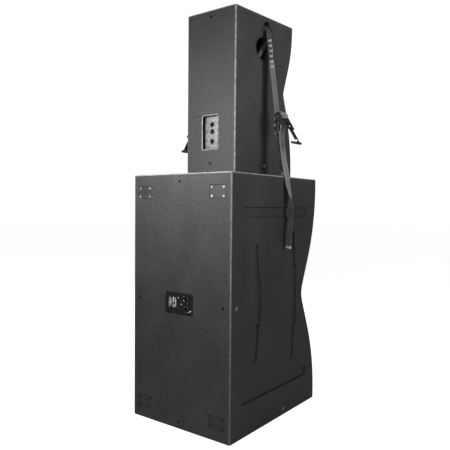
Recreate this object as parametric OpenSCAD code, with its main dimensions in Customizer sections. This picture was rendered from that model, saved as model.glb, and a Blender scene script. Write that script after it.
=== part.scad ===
// Two-cabinet stack of loudspeakers: a bass cabinet on the floor, a mid-high cabinet on top of it,
// and a ratchet strap on each side. The front faces -Y, +Z is up, and the origin is on the floor
// under the middle of the bass cabinet. Left and right are as seen from the front.

/* [Bass cabinet] */
// Width of the bass cabinet
bass_w = 635; // [600:5:700]
// Depth of the bass cabinet
bass_d = 815; // [780:5:850]
// Height of the bass cabinet with its feet
bass_h = 1270; // [1250:5:1300]
// Thickness of every cabinet panel
panel = 18; // [15:1:20]
// Radius of the upright rear edges
edge_r = 9; // [4:1:12]
// Height of the feet under both cabinets
foot_h = 4; // [3:1:6]
// Depth of the pockets routed in the side panels
pocket_depth = 7; // [5:1:9]

/* [Mid-high cabinet] */
// Width of the mid-high cabinet across its back
mid_back_w = 320; // [310:5:330]
// Width of the mid-high cabinet across its front
mid_front_w = 410; // [400:5:420]
// Depth of the mid-high cabinet
mid_d = 485; // [475:5:500]
// Height of the mid-high cabinet with its feet
mid_h = 860; // [850:5:880]
// How far its front stands behind the front of the bass cabinet
mid_setback = 92.5; // [90:2.5:95]

/* [Drivers] */
// Radius over the frame of a bass driver
woofer_r = 230; // [225:1:235]
// Radius over the frame of a mid driver
mid_driver_r = 157; // [150:1:158]
// Travel of a bass cone each way
woofer_travel = 8; // [4:1:10]

/* [Connectors] */
// Radius of the hole in a connector socket
socket_r = 12; // [11.5:0.5:12.5]
// Depth of the hole in a connector socket
socket_depth = 18; // [14:1:20]

/* [Ratchet straps] */
// Width of the webbing
web_w = 50; // [45:1:51]
// Thickness of the webbing
web_t = 2.4; // [1.6:0.2:2.6]
// Lean of a taut strap away from upright, in degrees
strap_lean = 7.9; // [7.7:0.1:8.1]
// How far the lever stands open from the ratchet frame, in degrees
lever_open = 24; // [22:1:30]
// Length of the lever from its axle to its tip
lever_len = 188; // [180:2:200]

/* [Hidden] */
$fn = 48;

front_y = -bass_d / 2;
back_y = bass_d / 2;
bass_in_x = bass_w / 2 - panel;
bass_mid_z = bass_h / 2;
mid_front_y = front_y + mid_setback;
mid_back_y = mid_front_y + mid_d;
mid_base_z = bass_h + foot_h;
mid_top_z = bass_h + mid_h;
mid_side_angle = atan((mid_front_w - mid_back_w) / 2 / mid_d);
mid_centre_y = (mid_front_y + mid_back_y) / 2;
bass_notch_z = bass_h / 2;
mid_notch_z = bass_h + 470;

// ---- the waisted front -------------------------------------------------------------------------
// Depth of the waist at a distance e from an end: flat, then an arc of radius r up to the angle a,
// then straight at that angle.
function waist_run(e, e0, r, a) =
  e < e0 ? 0
  : e < e0 + r * sin(a) ? r - sqrt(r * r - (e - e0) * (e - e0))
  : r * (1 - cos(a)) + (e - e0 - r * sin(a)) * tan(a);

// The same with the notch itself rounded by a fillet of radius f.
function waist(e, e_notch, e0, r, a, f) =
  let (q = e_notch - e)
  q < f * sin(a)
    ? waist_run(e_notch, e0, r, a) - f / cos(a) + sqrt(f * f - q * q)
    : waist_run(e, e0, r, a);

function bass_front(z) =
  front_y + waist(min(z, bass_h - z), bass_notch_z, 55, 1000, 23, 120);

function mid_front(z) =
  z > mid_notch_z
    ? mid_front_y + waist(mid_top_z - z, mid_top_z - mid_notch_z, 20, 750, 17.5, 60)
    : mid_front_y + waist(z - bass_h, mid_notch_z - bass_h, 35, 1200, 18, 60);

function steps(from, to, n) = [for (i = [0 : n]) from + (to - from) * i / n];

function mid_half(y) =
  mid_back_w / 2 + (mid_front_w - mid_back_w) / 2 * (mid_back_y - y) / mid_d;
mid_panel_x = (panel + 0.1) / cos(mid_side_angle);
function mid_inner(y) = mid_half(y) - mid_panel_x;

// ---- helpers -----------------------------------------------------------------------------------
// Extrudes a flat shape drawn in (y, z) along +X.
module along_x(x0, length) {
  translate([x0, 0, 0])
    rotate([90, 0, 90])
      linear_extrude(length) children();
}

module box(lo, hi) {
  translate(lo) cube(hi - lo);
}

module rounded_square(w, h, r) {
  square([w - 2 * r, h], center = true);
  square([w, h - 2 * r], center = true);
  for (x = [-1, 1])
    for (y = [-1, 1])
      translate([x * (w / 2 - r), y * (h / 2 - r)]) circle(r);
}

module bar_y(x, z, r, length) {
  translate([x, 0, z])
    rotate([90, 0, 0])
      cylinder(r = r, h = length, center = true);
}

module rod(p, q, r) {
  d = q - p;
  len = norm(d);
  translate(p)
    rotate([0, acos(d[2] / len), atan2(d[1], d[0])])
      cylinder(r = r, h = len);
}

module both_sides() {
  children();
  mirror([1, 0, 0]) children();
}

// ---- bass cabinet ------------------------------------------------------------------------------
pocket_w = 52;
pocket_half = 312;
pocket_z = 188;
bow_w = 40;
arm_w = 24;
arm_lean = 5.5;

module lying_pocket(z) {
  translate([0, z]) rounded_square(2 * pocket_half, pocket_w, 14);
}

// A standing pocket: a wide middle and two slimmer arms that lean towards the back.
module standing_pocket(y, middle, arm_len) {
  translate([y, bass_mid_z]) {
    rounded_square(bow_w, 2 * middle, 6);
    for (m = [0, 1])
      mirror([0, m])
        translate([6, middle - 10])
          rotate(-arm_lean)
            translate([0, arm_len / 2]) rounded_square(arm_w, arm_len, 11);
  }
}

module side_pockets() {
  lying_pocket(bass_h - pocket_z);
  lying_pocket(pocket_z);
  standing_pocket(173, 118, 182);
  standing_pocket(-178, 164, 194);
}

module bass_profile() {
  polygon(concat(
    [for (z = steps(foot_h, bass_h, 48)) [bass_front(z), z]],
    [[back_y, bass_h], [back_y, foot_h]]
  ));
}

module rear_edge_cut(x, y) {
  translate([x, y, foot_h - 1])
    difference() {
      translate([-edge_r, -edge_r, 0]) cube([edge_r + 1, edge_r + 1, bass_h + mid_h]);
      translate([-edge_r, -edge_r, -1]) cylinder(r = edge_r, h = bass_h + mid_h + 2);
    }
}

module bass_side() {
  color([0.13, 0.13, 0.14])
    difference() {
      along_x(bass_in_x, panel) bass_profile();
      along_x(bass_w / 2 - pocket_depth, pocket_depth + 1) side_pockets();
      rear_edge_cut(bass_w / 2, back_y);
      for (p = bass_side_fly)
        translate([bass_w / 2 - panel - 1, p[0], p[1]])
          rotate([0, 90, 0]) cylinder(r = insert_r, h = panel + 2);
    }
}
module bass_side_left() mirror([1, 0, 0]) bass_side();
module bass_side_right() bass_side();

module bass_top() {
  color([0.15, 0.15, 0.16])
    difference() {
      box([-bass_in_x, front_y, bass_h - panel], [bass_in_x, back_y - panel, bass_h]);
      both_sides()
        for (dy = [-1, 1])
          translate([-anchor_x + 28, strap_y + dy * 16, bass_h - 12])
            cylinder(r = 3, h = 20);
    }
}

module bass_bottom() {
  color([0.12, 0.12, 0.12])
    box([-bass_in_x, front_y, foot_h], [bass_in_x, back_y - panel, foot_h + panel]);
}

plate_z = 628;
plate_w = 178;
plate_h = 106;
plate_inset = 2;
caster_x = 237;
caster_z = 91;
caster_dx = 70;
caster_dz = 42;
caster_w = 93;
caster_h = 61;
caster_inset = 1.5;

module at_casters() {
  for (x = [-1, 1])
    for (z = [caster_z, bass_h - caster_z])
      translate([x * caster_x, back_y, z])
        rotate([-90, 0, 0]) children();
}

module at_caster_bolts() {
  at_casters()
    for (x = [-1, 1])
      for (z = [-1, 1])
        translate([x * caster_dx / 2, z * caster_dz / 2, 0]) children();
}

module bass_back() {
  color([0.2, 0.2, 0.21])
    difference() {
      box([-bass_in_x, back_y - panel, foot_h], [bass_in_x, back_y, bass_h]);
      translate([0, back_y + 1, plate_z])
        rotate([90, 0, 0]) {
          linear_extrude(6) rounded_square(plate_w + 1, plate_h + 1, 8);
          linear_extrude(panel + 2) rounded_square(plate_w - 24, plate_h - 24, 5);
        }
      at_casters()
        translate([0, 0, -4])
          linear_extrude(6) rounded_square(caster_w + 0.6, caster_h + 0.6, 7.3);
      at_caster_bolts() translate([0, 0, -panel - 1]) cylinder(r = 5.6, h = panel + 2);
      for (p = bass_back_fly)
        translate([p[0], back_y + 1, p[1]])
          rotate([90, 0, 0]) cylinder(r = insert_r, h = panel + 2);
    }
}

// The upper baffle's front face runs from baffle_top to baffle_foot, both as [y, z].
baffle_top = [front_y + 42.5, bass_h - panel - 10];
baffle_foot = [front_y + 207.5, bass_mid_z + 10];
baffle_lean = atan((baffle_foot[0] - baffle_top[0]) / (baffle_top[1] - baffle_foot[1]));
baffle_len = norm(baffle_top - baffle_foot);
woofer_cut = 206;
port_r = 50;
port_x = 236;
port_u = 212;

// Places its children with +Z out of the upper baffle's front face.
module on_upper_baffle() {
  c = (baffle_top + baffle_foot) / 2;
  translate([0, c[0], c[1]])
    rotate([90 + baffle_lean, 0, 0]) children();
}
module on_lower_baffle() {
  translate([0, 0, bass_h]) mirror([0, 0, 1]) on_upper_baffle() children();
}

// The baffles stand clear of the sides by the glue line.
glue_gap = 0.1;
module bass_baffle() {
  color([0.1, 0.1, 0.1])
    difference() {
      translate([0, 0, -panel / 2])
        cube([2 * (bass_in_x - glue_gap), baffle_len, panel], center = true);
      translate([0, 0, -panel - 1]) cylinder(r = woofer_cut, h = panel + 2, $fn = 96);
      for (x = [-1, 1])
        translate([x * port_x, port_u, -panel - 1]) cylinder(r = port_r + 0.2, h = panel + 2);
    }
}
module bass_baffle_upper() on_upper_baffle() bass_baffle();
module bass_baffle_lower() on_lower_baffle() bass_baffle();

module bass_shelf_brace() {
  color([0.55, 0.42, 0.28])
    difference() {
      box([-bass_in_x, baffle_foot[0], bass_mid_z - panel / 2],
          [bass_in_x, back_y - panel, bass_mid_z + panel / 2]);
      for (x = [-155, 155])
        translate([x, 90, bass_mid_z - panel]) cylinder(r = 95, h = 2 * panel, $fn = 64);
      translate([0, back_y - panel, bass_mid_z])
        cube([plate_w + 12, 120, 2 * panel], center = true);
    }
}

module port() {
  color([0.1, 0.1, 0.1])
    difference() {
      union() {
        translate([0, 0, -110]) cylinder(r = port_r, h = 110);
        cylinder(r = port_r + 7, h = 3);
      }
      translate([0, 0, -111]) cylinder(r = port_r - 4, h = 116);
    }
}
module bass_ports() {
  for (x = [-1, 1]) {
    on_upper_baffle() translate([x * port_x, port_u, 0]) port();
    on_lower_baffle() translate([x * port_x, port_u, 0]) port();
  }
}

grille_inset = 5;
grille_t = 2;

// A plain sheet that follows a waisted front between two heights.
module bass_grille() {
  z0 = foot_h + panel + 2;
  z1 = bass_h - panel - 2;
  color([0.16, 0.16, 0.17])
    along_x(-bass_in_x + 2, 2 * bass_in_x - 4)
      polygon(concat(
        [for (z = steps(z0, z1, 48)) [bass_front(z) + grille_inset, z]],
        [for (z = steps(z1, z0, 48)) [bass_front(z) + grille_inset + grille_t, z]]
      ));
}

// ---- loudspeaker drivers -----------------------------------------------------------------------
// Local +Z points out of the cone. The mounting face is at z = 0.
module driver_frame(r, r_cut, depth, r_motor) {
  color([0.22, 0.22, 0.23])
    rotate_extrude($fn = 96)
      polygon([
        [r_cut - 14, 0.2], [r, 0.2], [r, 8], [r - 4, 10], [r_cut - 14, 10]
      ]);
  color([0.22, 0.22, 0.23])
    rotate_extrude($fn = 96)
      polygon([
        [r_cut - 6, 0.2], [r_cut - 2, 0.2], [r_motor + 4, -depth], [r_motor + 4, -depth - 6],
        [r_motor * 0.55, -depth - 6], [r_motor * 0.55, -depth], [r_motor, -depth]
      ]);
}

coil_in = 14;
module driver_magnet(depth, r_motor, r_coil, height, travel) {
  z1 = -depth - 6.2;
  z0 = z1 - height;
  groove = z1 - coil_in - 2 * travel;
  color([0.3, 0.3, 0.31])
    rotate_extrude($fn = 72)
      polygon([
        [0, z0], [r_motor, z0], [r_motor, z1], [r_coil + 2, z1], [r_coil + 2, groove],
        [r_coil - 3, groove], [r_coil - 3, z1], [0, z1]
      ]);
}

module driver_cone(r_edge, depth, r_coil) {
  coil_end = -depth - 6.2 - coil_in;
  color([0.09, 0.09, 0.09])
    rotate_extrude($fn = 96)
      polygon([
        [r_edge, 2], [r_edge - 5, 2], [r_coil - 1, -depth * 0.72], [r_coil - 1, coil_end],
        [r_coil + 0.6, coil_end], [r_coil + 0.6, -depth * 0.75]
      ]);
  color([0.07, 0.07, 0.07])
    translate([0, 0, -depth * 0.64])
      intersection() {
        translate([0, 0, -r_coil * 1.2]) sphere(r = r_coil * 1.8, $fn = 64);
        cylinder(r = r_coil * 1.5, h = r_coil);
      }
}

woofer_depth = 112;
woofer_motor_r = 105;
woofer_coil_r = 50;
woofer_cone_r = 188;
mid_depth = 78;
mid_motor_r = 78;
mid_coil_r = 37;
mid_cut_r = 141;
mid_cone_r = 124;
mid_travel = 4;

module woofer_frame()
  driver_frame(woofer_r, woofer_cut, woofer_depth, woofer_motor_r);
module woofer_frame_upper() on_upper_baffle() woofer_frame();
module woofer_frame_lower() on_lower_baffle() woofer_frame();
module woofer_cone() driver_cone(woofer_cone_r, woofer_depth, woofer_coil_r);
module woofer_cone_upper() on_upper_baffle() woofer_cone();
module woofer_cone_lower() on_lower_baffle() woofer_cone();

mid_baffle_y = mid_front_y + 110;
mid_upper_z = mid_top_z - panel - mid_driver_r - 8;
mid_lower_z = mid_base_z + panel + mid_driver_r + 8;
horn_z = (mid_upper_z + mid_lower_z) / 2;
horn_h = 168;
horn_w = 300;

module at_mid(z) {
  translate([0, mid_baffle_y, z]) rotate([90, 0, 0]) children();
}
module mid_frame() driver_frame(mid_driver_r, mid_cut_r, mid_depth, mid_motor_r);
module mid_driver_frame_upper() at_mid(mid_upper_z) mid_frame();
module mid_driver_frame_lower() at_mid(mid_lower_z) mid_frame();
module mid_cone() driver_cone(mid_cone_r, mid_depth, mid_coil_r);
module mid_cone_upper() at_mid(mid_upper_z) mid_cone();
module mid_cone_lower() at_mid(mid_lower_z) mid_cone();

module driver_magnets() {
  on_upper_baffle() driver_magnet(woofer_depth, woofer_motor_r, woofer_coil_r, 62, woofer_travel);
  on_lower_baffle() driver_magnet(woofer_depth, woofer_motor_r, woofer_coil_r, 62, woofer_travel);
  for (z = [mid_lower_z, mid_upper_z])
    at_mid(z) driver_magnet(mid_depth, mid_motor_r, mid_coil_r, 46, mid_travel);
}

throat_r = 19;
horn_depth = 96;
module horn_flare() {
  color([0.12, 0.12, 0.12]) at_mid(horn_z)
    difference() {
      union() {
        translate([0, 0, 0.2])
          linear_extrude(4) square([horn_w, horn_h], center = true);
        hull() {
          translate([0, 0, 0.2])
            linear_extrude(1) square([horn_w - 24, horn_h - 24], center = true);
          translate([0, 0, -horn_depth]) cylinder(r = throat_r + 8, h = 1, $fn = 32);
        }
        translate([0, 0, -horn_depth]) cylinder(r = 48, h = 8);
      }
      hull() {
        translate([0, 0, 5])
          linear_extrude(1) square([horn_w - 32, horn_h - 32], center = true);
        translate([0, 0, -horn_depth - 1]) cylinder(r = throat_r, h = 1, $fn = 32);
      }
    }
}

module compression_driver() {
  color([0.28, 0.28, 0.29]) at_mid(horn_z)
    translate([0, 0, -horn_depth - 0.2])
      mirror([0, 0, 1]) {
        cylinder(r = 50, h = 12);
        translate([0, 0, 12]) cylinder(r = 62, h = 34, $fn = 72);
        translate([0, 0, 46]) cylinder(r = 46, h = 14);
      }
}

// ---- mid-high cabinet --------------------------------------------------------------------------
// Places its children on the outside of the right side panel, with +X out of the panel, +Y
// towards the back and the origin at height zero on the mid-depth line.
module on_mid_side() {
  translate([mid_half(mid_centre_y), mid_centre_y, 0])
    rotate(mid_side_angle) children();
}

module mid_profile() {
  k = 1 / cos(mid_side_angle);
  polygon(concat(
    [for (z = steps(mid_base_z, mid_top_z, 44)) [(mid_front(z) - mid_centre_y) * k, z]],
    [[(mid_back_y - mid_centre_y) * k, mid_top_z], [(mid_back_y - mid_centre_y) * k, mid_base_z]]
  ));
}

cup_y = 22;
cup_z = mid_top_z - 177;
cup_r = 68;
cup_depth = 52;
insert_r = 7;
insert_hole_r = 5;
insert_len = 18;
insert_hole = 16;
fly_top_z = mid_top_z - 44;
fly_low_z = mid_base_z + 58;
strap_y = mid_centre_y;
bass_side_fly = [[back_y - 45, bass_mid_z], [strap_y, 38]];
bass_back_fly = [[0, 38], [0, bass_h - 38], [273, bass_mid_z], [-273, bass_mid_z]];
mid_back_fly = [[0, mid_top_z - 34], [0, mid_base_z + 62]];

module mid_side() {
  color([0.17, 0.17, 0.18])
    difference() {
      on_mid_side()
        difference() {
          along_x(-panel, panel) mid_profile();
          translate([-panel - 1, cup_y, cup_z])
            rotate([0, 90, 0]) cylinder(r = cup_r - 6, h = panel + 2, $fn = 72);
          translate([-2, cup_y, cup_z])
            rotate([0, 90, 0]) cylinder(r = cup_r + 0.4, h = 3, $fn = 72);
          for (z = [fly_low_z, fly_top_z])
            translate([-panel - 1, 0, z])
              rotate([0, 90, 0]) cylinder(r = insert_r, h = panel + 2);
        }
      rear_edge_cut(mid_back_w / 2, mid_back_y);
      box([0, mid_back_y, 0], [bass_w, mid_back_y + 20, mid_top_z + 10]);
    }
}
module mid_side_left() mirror([1, 0, 0]) mid_side();
module mid_side_right() mid_side();

// A block between both side panels, from y0 to y1 and from z0 to z1.
module mid_block(y0, y1, z0, z1) {
  translate([0, 0, z0])
    linear_extrude(z1 - z0)
      polygon([
        [-mid_inner(y0), y0], [mid_inner(y0), y0], [mid_inner(y1), y1], [-mid_inner(y1), y1]
      ]);
}

module mid_top()
  color([0.17, 0.17, 0.18])
    mid_block(mid_front_y, mid_back_y - panel, mid_top_z - panel, mid_top_z);
module mid_bottom()
  color([0.12, 0.12, 0.12])
    mid_block(mid_front_y, mid_back_y - panel, mid_base_z, mid_base_z + panel);

dish_z = 1497;
dish_w = 113;
dish_h = 186;
dish_depth = 20;

module mid_back() {
  color([0.2, 0.2, 0.21])
    difference() {
      mid_block(mid_back_y - panel, mid_back_y, mid_base_z, mid_top_z);
      translate([0, mid_back_y + 1, dish_z])
        rotate([90, 0, 0])
          linear_extrude(panel + 2) rounded_square(dish_w - 10, dish_h - 10, 9);
      for (p = mid_back_fly)
        translate([p[0], mid_back_y + 1, p[1]])
          rotate([90, 0, 0]) cylinder(r = insert_r, h = panel + 2);
    }
}

module mid_baffle() {
  color([0.1, 0.1, 0.1])
    difference() {
      mid_block(mid_baffle_y, mid_baffle_y + panel, mid_base_z + panel, mid_top_z - panel);
      for (z = [mid_lower_z, mid_upper_z])
        at_mid(z) translate([0, 0, -panel - 1]) cylinder(r = mid_cut_r, h = panel + 2, $fn = 96);
      at_mid(horn_z)
        translate([0, 0, -panel - 1])
          linear_extrude(panel + 2) square([horn_w - 22, horn_h - 22], center = true);
    }
}

// The sheet is cut back at its long edges so that it clears both leaning side panels.
module mid_grille() {
  z0 = mid_base_z + panel + 2;
  z1 = mid_top_z - panel - 2;
  half = mid_inner(mid_front_y + 90) - 2;
  color([0.16, 0.16, 0.17])
    along_x(-half, 2 * half)
      polygon(concat(
        [for (z = steps(z0, z1, 44)) [mid_front(z) + grille_inset, z]],
        [for (z = steps(z1, z0, 44)) [mid_front(z) + grille_inset + grille_t, z]]
      ));
}

// ---- fittings ----------------------------------------------------------------------------------
module caster_plates() {
  color([0.12, 0.12, 0.13])
    difference() {
      at_casters()
        translate([0, 0, -4])
          linear_extrude(4 - caster_inset) rounded_square(caster_w, caster_h, 7);
      at_caster_bolts() translate([0, 0, -6]) cylinder(r = 5.6, h = 8);
    }
}

module caster_inserts() {
  color([0.75, 0.75, 0.76])
    at_caster_bolts()
      difference() {
        union() {
          translate([0, 0, -caster_inset]) cylinder(r = 6.4, h = 1.8);
          translate([0, 0, -20]) cylinder(r = 5.5, h = 20 - caster_inset);
        }
        translate([0, 0, -18]) cylinder(r = 4, h = 20);
      }
}

// A flanged threaded insert with its mouth along +Z and its flange on the panel's face.
module fly_insert() {
  difference() {
    union() {
      translate([0, 0, -insert_len]) cylinder(r = insert_r - 0.1, h = insert_len);
      cylinder(r = insert_r + 2, h = 0.8);
    }
    translate([0, 0, -insert_hole]) cylinder(r = insert_hole_r, h = insert_hole + 1);
  }
}
module fly_inserts() {
  color([0.6, 0.6, 0.61]) {
    both_sides() {
      for (p = bass_side_fly)
        translate([bass_w / 2, p[0], p[1]]) rotate([0, 90, 0]) fly_insert();
      on_mid_side()
        translate([0, 0, fly_low_z]) rotate([0, 90, 0]) fly_insert();
    }
    for (p = bass_back_fly)
      translate([p[0], back_y, p[1]]) rotate([-90, 0, 0]) fly_insert();
    for (p = mid_back_fly)
      translate([p[0], mid_back_y, p[1]]) rotate([-90, 0, 0]) fly_insert();
  }
}

module bass_connector_plate() {
  color([0.05, 0.05, 0.05])
    translate([0, back_y - plate_inset, plate_z])
      rotate([90, 0, 0])
        difference() {
          linear_extrude(3) rounded_square(plate_w, plate_h, 7.5);
          for (p = bass_sockets_at) translate([p[0], p[1], -1]) cylinder(r = 14, h = 6);
        }
}

socket_flange = 2.2;
bass_sockets_at = [[-48, 24], [-48, -24]];
mid_sockets_at = [[0, 43], [0, 6], [0, -45]];

// A panel socket with a square flange and a round hole, opening along +Z.
module socket() {
  difference() {
    union() {
      translate([0, 0, -socket_depth - 4]) cylinder(r = 13.8, h = socket_depth + 4);
      linear_extrude(socket_flange) rounded_square(26, 31, 3);
    }
    translate([0, 0, socket_flange - socket_depth]) cylinder(r = socket_r, h = socket_depth + 1);
  }
}
module connector_sockets() {
  color([0.06, 0.06, 0.06]) {
    for (p = bass_sockets_at)
      translate([p[0], back_y - plate_inset, plate_z + p[1]]) rotate([-90, 0, 0]) socket();
    for (p = mid_sockets_at)
      translate([p[0], mid_back_y - dish_depth + 2, dish_z + p[1]])
        rotate([-90, 0, 0]) socket();
  }
}

module mid_connector_dish() {
  color([0.6, 0.6, 0.61])
    translate([0, mid_back_y, dish_z])
      rotate([-90, 0, 0])
        difference() {
          union() {
            linear_extrude(2) rounded_square(dish_w, dish_h, 13);
            translate([0, 0, -dish_depth])
              linear_extrude(dish_depth + 1) rounded_square(dish_w - 11, dish_h - 11, 8.5);
          }
          translate([0, 0, -dish_depth + 2])
            linear_extrude(dish_depth + 2) rounded_square(dish_w - 15, dish_h - 15, 7);
          for (p = mid_sockets_at)
            translate([p[0], -p[1], -dish_depth - 1]) cylinder(r = 14, h = 5);
        }
}

// A pressed cup whose lip sits in the rebate around the hole in the side panel.
module handle_cup() {
  color([0.03, 0.03, 0.03])
    rotate([0, 90, 0])
      rotate_extrude($fn = 72)
        polygon([
          [0, -cup_depth], [cup_r - 22, -cup_depth], [cup_r - 12, -cup_depth + 6],
          [cup_r - 6.4, -16], [cup_r - 6.4, -1.8], [cup_r, -1.8], [cup_r, 0.4],
          [cup_r - 8.4, 0.4], [cup_r - 8.4, -16], [cup_r - 14, -cup_depth + 7],
          [cup_r - 23, -cup_depth + 2], [0, -cup_depth + 2]
        ]);
}
module handle_cups()
  both_sides() on_mid_side() translate([0, cup_y, cup_z]) handle_cup();

bar_r = 12.5;
bar_tilt = 40;
bar_half = 58.3;
module handle_bars() {
  color([0.3, 0.3, 0.3])
    both_sides()
      on_mid_side()
        translate([-bar_r - 0.7, cup_y - 6, cup_z - 5])
          rotate([bar_tilt, 0, 0]) cylinder(r = bar_r, h = 2 * bar_half, center = true);
}

// A screw head at p, standing square to a front whose slope there is given.
module screw_head(p, slope, r) {
  translate(p)
    rotate([90 - atan(slope), 0, 0])
      translate([0, 0, 0.2]) cylinder(r = r, h = 2);
}
module grille_screws() {
  color([0.3, 0.3, 0.3])
    for (side = [-1, 1]) {
      for (z = [90, 420, bass_h - 420, bass_h - 90])
        screw_head(
          [side * (bass_in_x - 14), bass_front(z) + grille_inset, z],
          (bass_front(z + 1) - bass_front(z - 1)) / 2, 5
        );
      for (z = [mid_base_z + 60, mid_top_z - 60])
        screw_head(
          [side * (mid_inner(mid_front_y + 90) - 12), mid_front(z) + grille_inset, z],
          (mid_front(z + 1) - mid_front(z - 1)) / 2, 4
        );
    }
}

module feet() {
  color([0.08, 0.08, 0.08]) {
    for (x = [-1, 1])
      for (y = [front_y + 60, back_y - 60])
        translate([x * (bass_w / 2 - 60), y, 0]) cylinder(r = 24, h = foot_h);
    for (x = [-1, 1])
      for (y = [mid_front_y + 45, mid_back_y - 45])
        translate([x * 125, y, bass_h]) cylinder(r = 18, h = foot_h);
  }
}

// ---- ratchet straps ----------------------------------------------------------------------------
// Each strap lies in the plane y = strap_y. It hangs from a bolt in the mid-high cabinet's side and
// pulls on a lug on the bass cabinet's top. strap_frame() puts its children in a frame with the
// origin where the webbing meets the spool, +Z up along the strap and -X away from the cabinet.
wire_r = 3;
bend_r = wire_r + 0.4;
bolt_r = 6;
hook_x = -mid_half(strap_y) - 10;
hook_z = fly_top_z + bolt_r + wire_r + 0.1;
ratchet_z = 1585;
ratchet_x = hook_x - (hook_z - ratchet_z) * tan(strap_lean);
strap_up = (hook_z - ratchet_z) / cos(strap_lean);
lug_hole_z = bass_h + 22;
strap_down = (ratchet_z - lug_hole_z) / cos(strap_lean);
anchor_x = -ratchet_x + strap_down * sin(strap_lean);
spool_x = -22;
frame_bolt_z = -84;
core_r = 20.4;
mandrel_r = 9;
bore_r = mandrel_r + 0.08;
wheel_r = 24;
wheel_root = 18.5;
teeth = 12;
frame_in = 27.3;
frame_t = 2.5;
wheel_in = 30.2;
wheel_t = 3.6;
lever_in = 34.6;
lever_t = 2.5;
link_half = 33;
link_drop = 48;
link_base = web_w / 2 + wire_r + 1;
lug_slack = 2.8;
loop_r = 6.2;
nose_r = wheel_r + 0.3;

module strap_frame() {
  translate([ratchet_x, strap_y, ratchet_z])
    rotate([0, strap_lean, 0]) children();
}

module right_copy() mirror([1, 0, 0]) children();

// A wire link: a short bar at its point, two bent legs and a base bar that carries the webbing.
module link() {
  point = 7;
  knee = 14 - link_drop;
  rod([0, -point, 0], [0, point, 0], wire_r);
  rod([0, -link_base, -link_drop], [0, link_base, -link_drop], wire_r);
  for (m = [-1, 1]) {
    rod([0, m * point, 0], [0, m * link_half, knee], wire_r);
    rod([0, m * link_half, knee], [0, m * link_base, -link_drop], wire_r);
    for (p = [[point, 0], [link_half, knee], [link_base, -link_drop]])
      translate([0, m * p[0], p[1]]) sphere(bend_r);
  }
}
module hook_links() {
  color([0.2, 0.2, 0.2])
    both_sides()
      strap_frame() {
        translate([0, 0, strap_up]) link();
        translate([0, 0, -strap_down + lug_slack]) mirror([0, 0, 1]) link();
      }
}

module hanger_bolts() {
  color([0.7, 0.7, 0.7])
    both_sides()
      on_mid_side()
        translate([0, 0, fly_top_z])
          rotate([0, 90, 0]) {
            translate([0, 0, -20]) cylinder(r = insert_r - 0.1, h = 20);
            cylinder(r = 9.5, h = 2.5);
            cylinder(r = bolt_r, h = 17);
            translate([0, 0, 15.5]) cylinder(r = 9, h = 3);
          }
}

module strap_anchors() {
  color([0.65, 0.65, 0.66])
    both_sides()
      translate([-anchor_x, strap_y, bass_h]) {
        translate([-9, -30, 0]) cube([52, 60, 4]);
        rotate([90, 0, 0])
          difference() {
            union() {
              translate([-13, 3, -3]) cube([26, 19, 6]);
              translate([0, 22, -3]) cylinder(r = 13, h = 6);
            }
            translate([0, 22, -4]) cylinder(r = 6, h = 8);
          }
        for (dy = [-1, 1])
          translate([28, dy * 16, -10]) {
            cylinder(r = 2.9, h = 12);
            translate([0, 0, 13]) cylinder(r = 6, h = 4);
          }
      }
}

module web(z0, z1) {
  box([-web_t / 2, -web_w / 2, z0], [web_t / 2, web_w / 2, z1]);
}
module web_loop(z) {
  difference() {
    bar_y(0, z, loop_r, web_w);
    bar_y(0, z, wire_r + 0.2, web_w + 2);
  }
}

module strap_long() {
  base = strap_up - link_drop;
  color([0.32, 0.32, 0.33])
    strap_frame() {
      web_loop(base);
      web(0, base - loop_r + 1);
      box([-2.6, -web_w / 2, base - 130], [2.6, web_w / 2, base - loop_r + 1]);
    }
}
module strap_long_left() strap_long();
module strap_long_right() right_copy() strap_long();

module strap_short() {
  base = -strap_down + lug_slack + link_drop;
  color([0.1, 0.1, 0.1])
    strap_frame() {
      web_loop(base);
      difference() {
        bar_y(0, frame_bolt_z, 8.2, web_w);
        bar_y(0, frame_bolt_z, 5.2, web_w + 2);
      }
      web(base + loop_r - 1, frame_bolt_z - 7.2);
    }
}
module strap_short_left() strap_short();
module strap_short_right() right_copy() strap_short();

module frame_cheek() {
  difference() {
    union() {
      translate([spool_x, 0]) circle(r = 16);
      translate([0, frame_bolt_z]) circle(r = 11);
      polygon([
        [spool_x + 15, 6], [11, -24], [11, frame_bolt_z], [-11, frame_bolt_z], [-19, -58],
        [-19, -24], [spool_x - 15, -6]
      ]);
    }
    translate([spool_x, 0]) circle(r = bore_r);
    translate([0, frame_bolt_z]) circle(r = 5.1);
    translate([-12, -40]) square([4.4, 38], center = true);
  }
}

module at_cheeks(inner, thick) {
  for (m = [0, 1])
    mirror([0, m, 0])
      translate([0, inner + thick, 0])
        rotate([90, 0, 0]) linear_extrude(thick) children();
}

module ratchet_frame() {
  color([0.5, 0.5, 0.52])
    strap_frame() {
      at_cheeks(frame_in, frame_t) frame_cheek();
      box([8, -frame_in - 1, -70], [11, frame_in + 1, -30]);
      bar_y(0, frame_bolt_z, 5, 2 * (frame_in + frame_t) + 1);
      for (m = [-1, 1])
        translate([0, m * (frame_in + frame_t + 2), 0]) bar_y(0, frame_bolt_z, 8, 4);
    }
}
module ratchet_frame_left() ratchet_frame();
module ratchet_frame_right() right_copy() ratchet_frame();

module wheel_outline() {
  step = 360 / teeth;
  rotate(-90)
    polygon([
      for (i = [0 : teeth - 1])
        each [
          [wheel_r * cos(i * step), wheel_r * sin(i * step)],
          [wheel_root * cos(i * step + 4), wheel_root * sin(i * step + 4)]
        ]
    ]);
}

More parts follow.
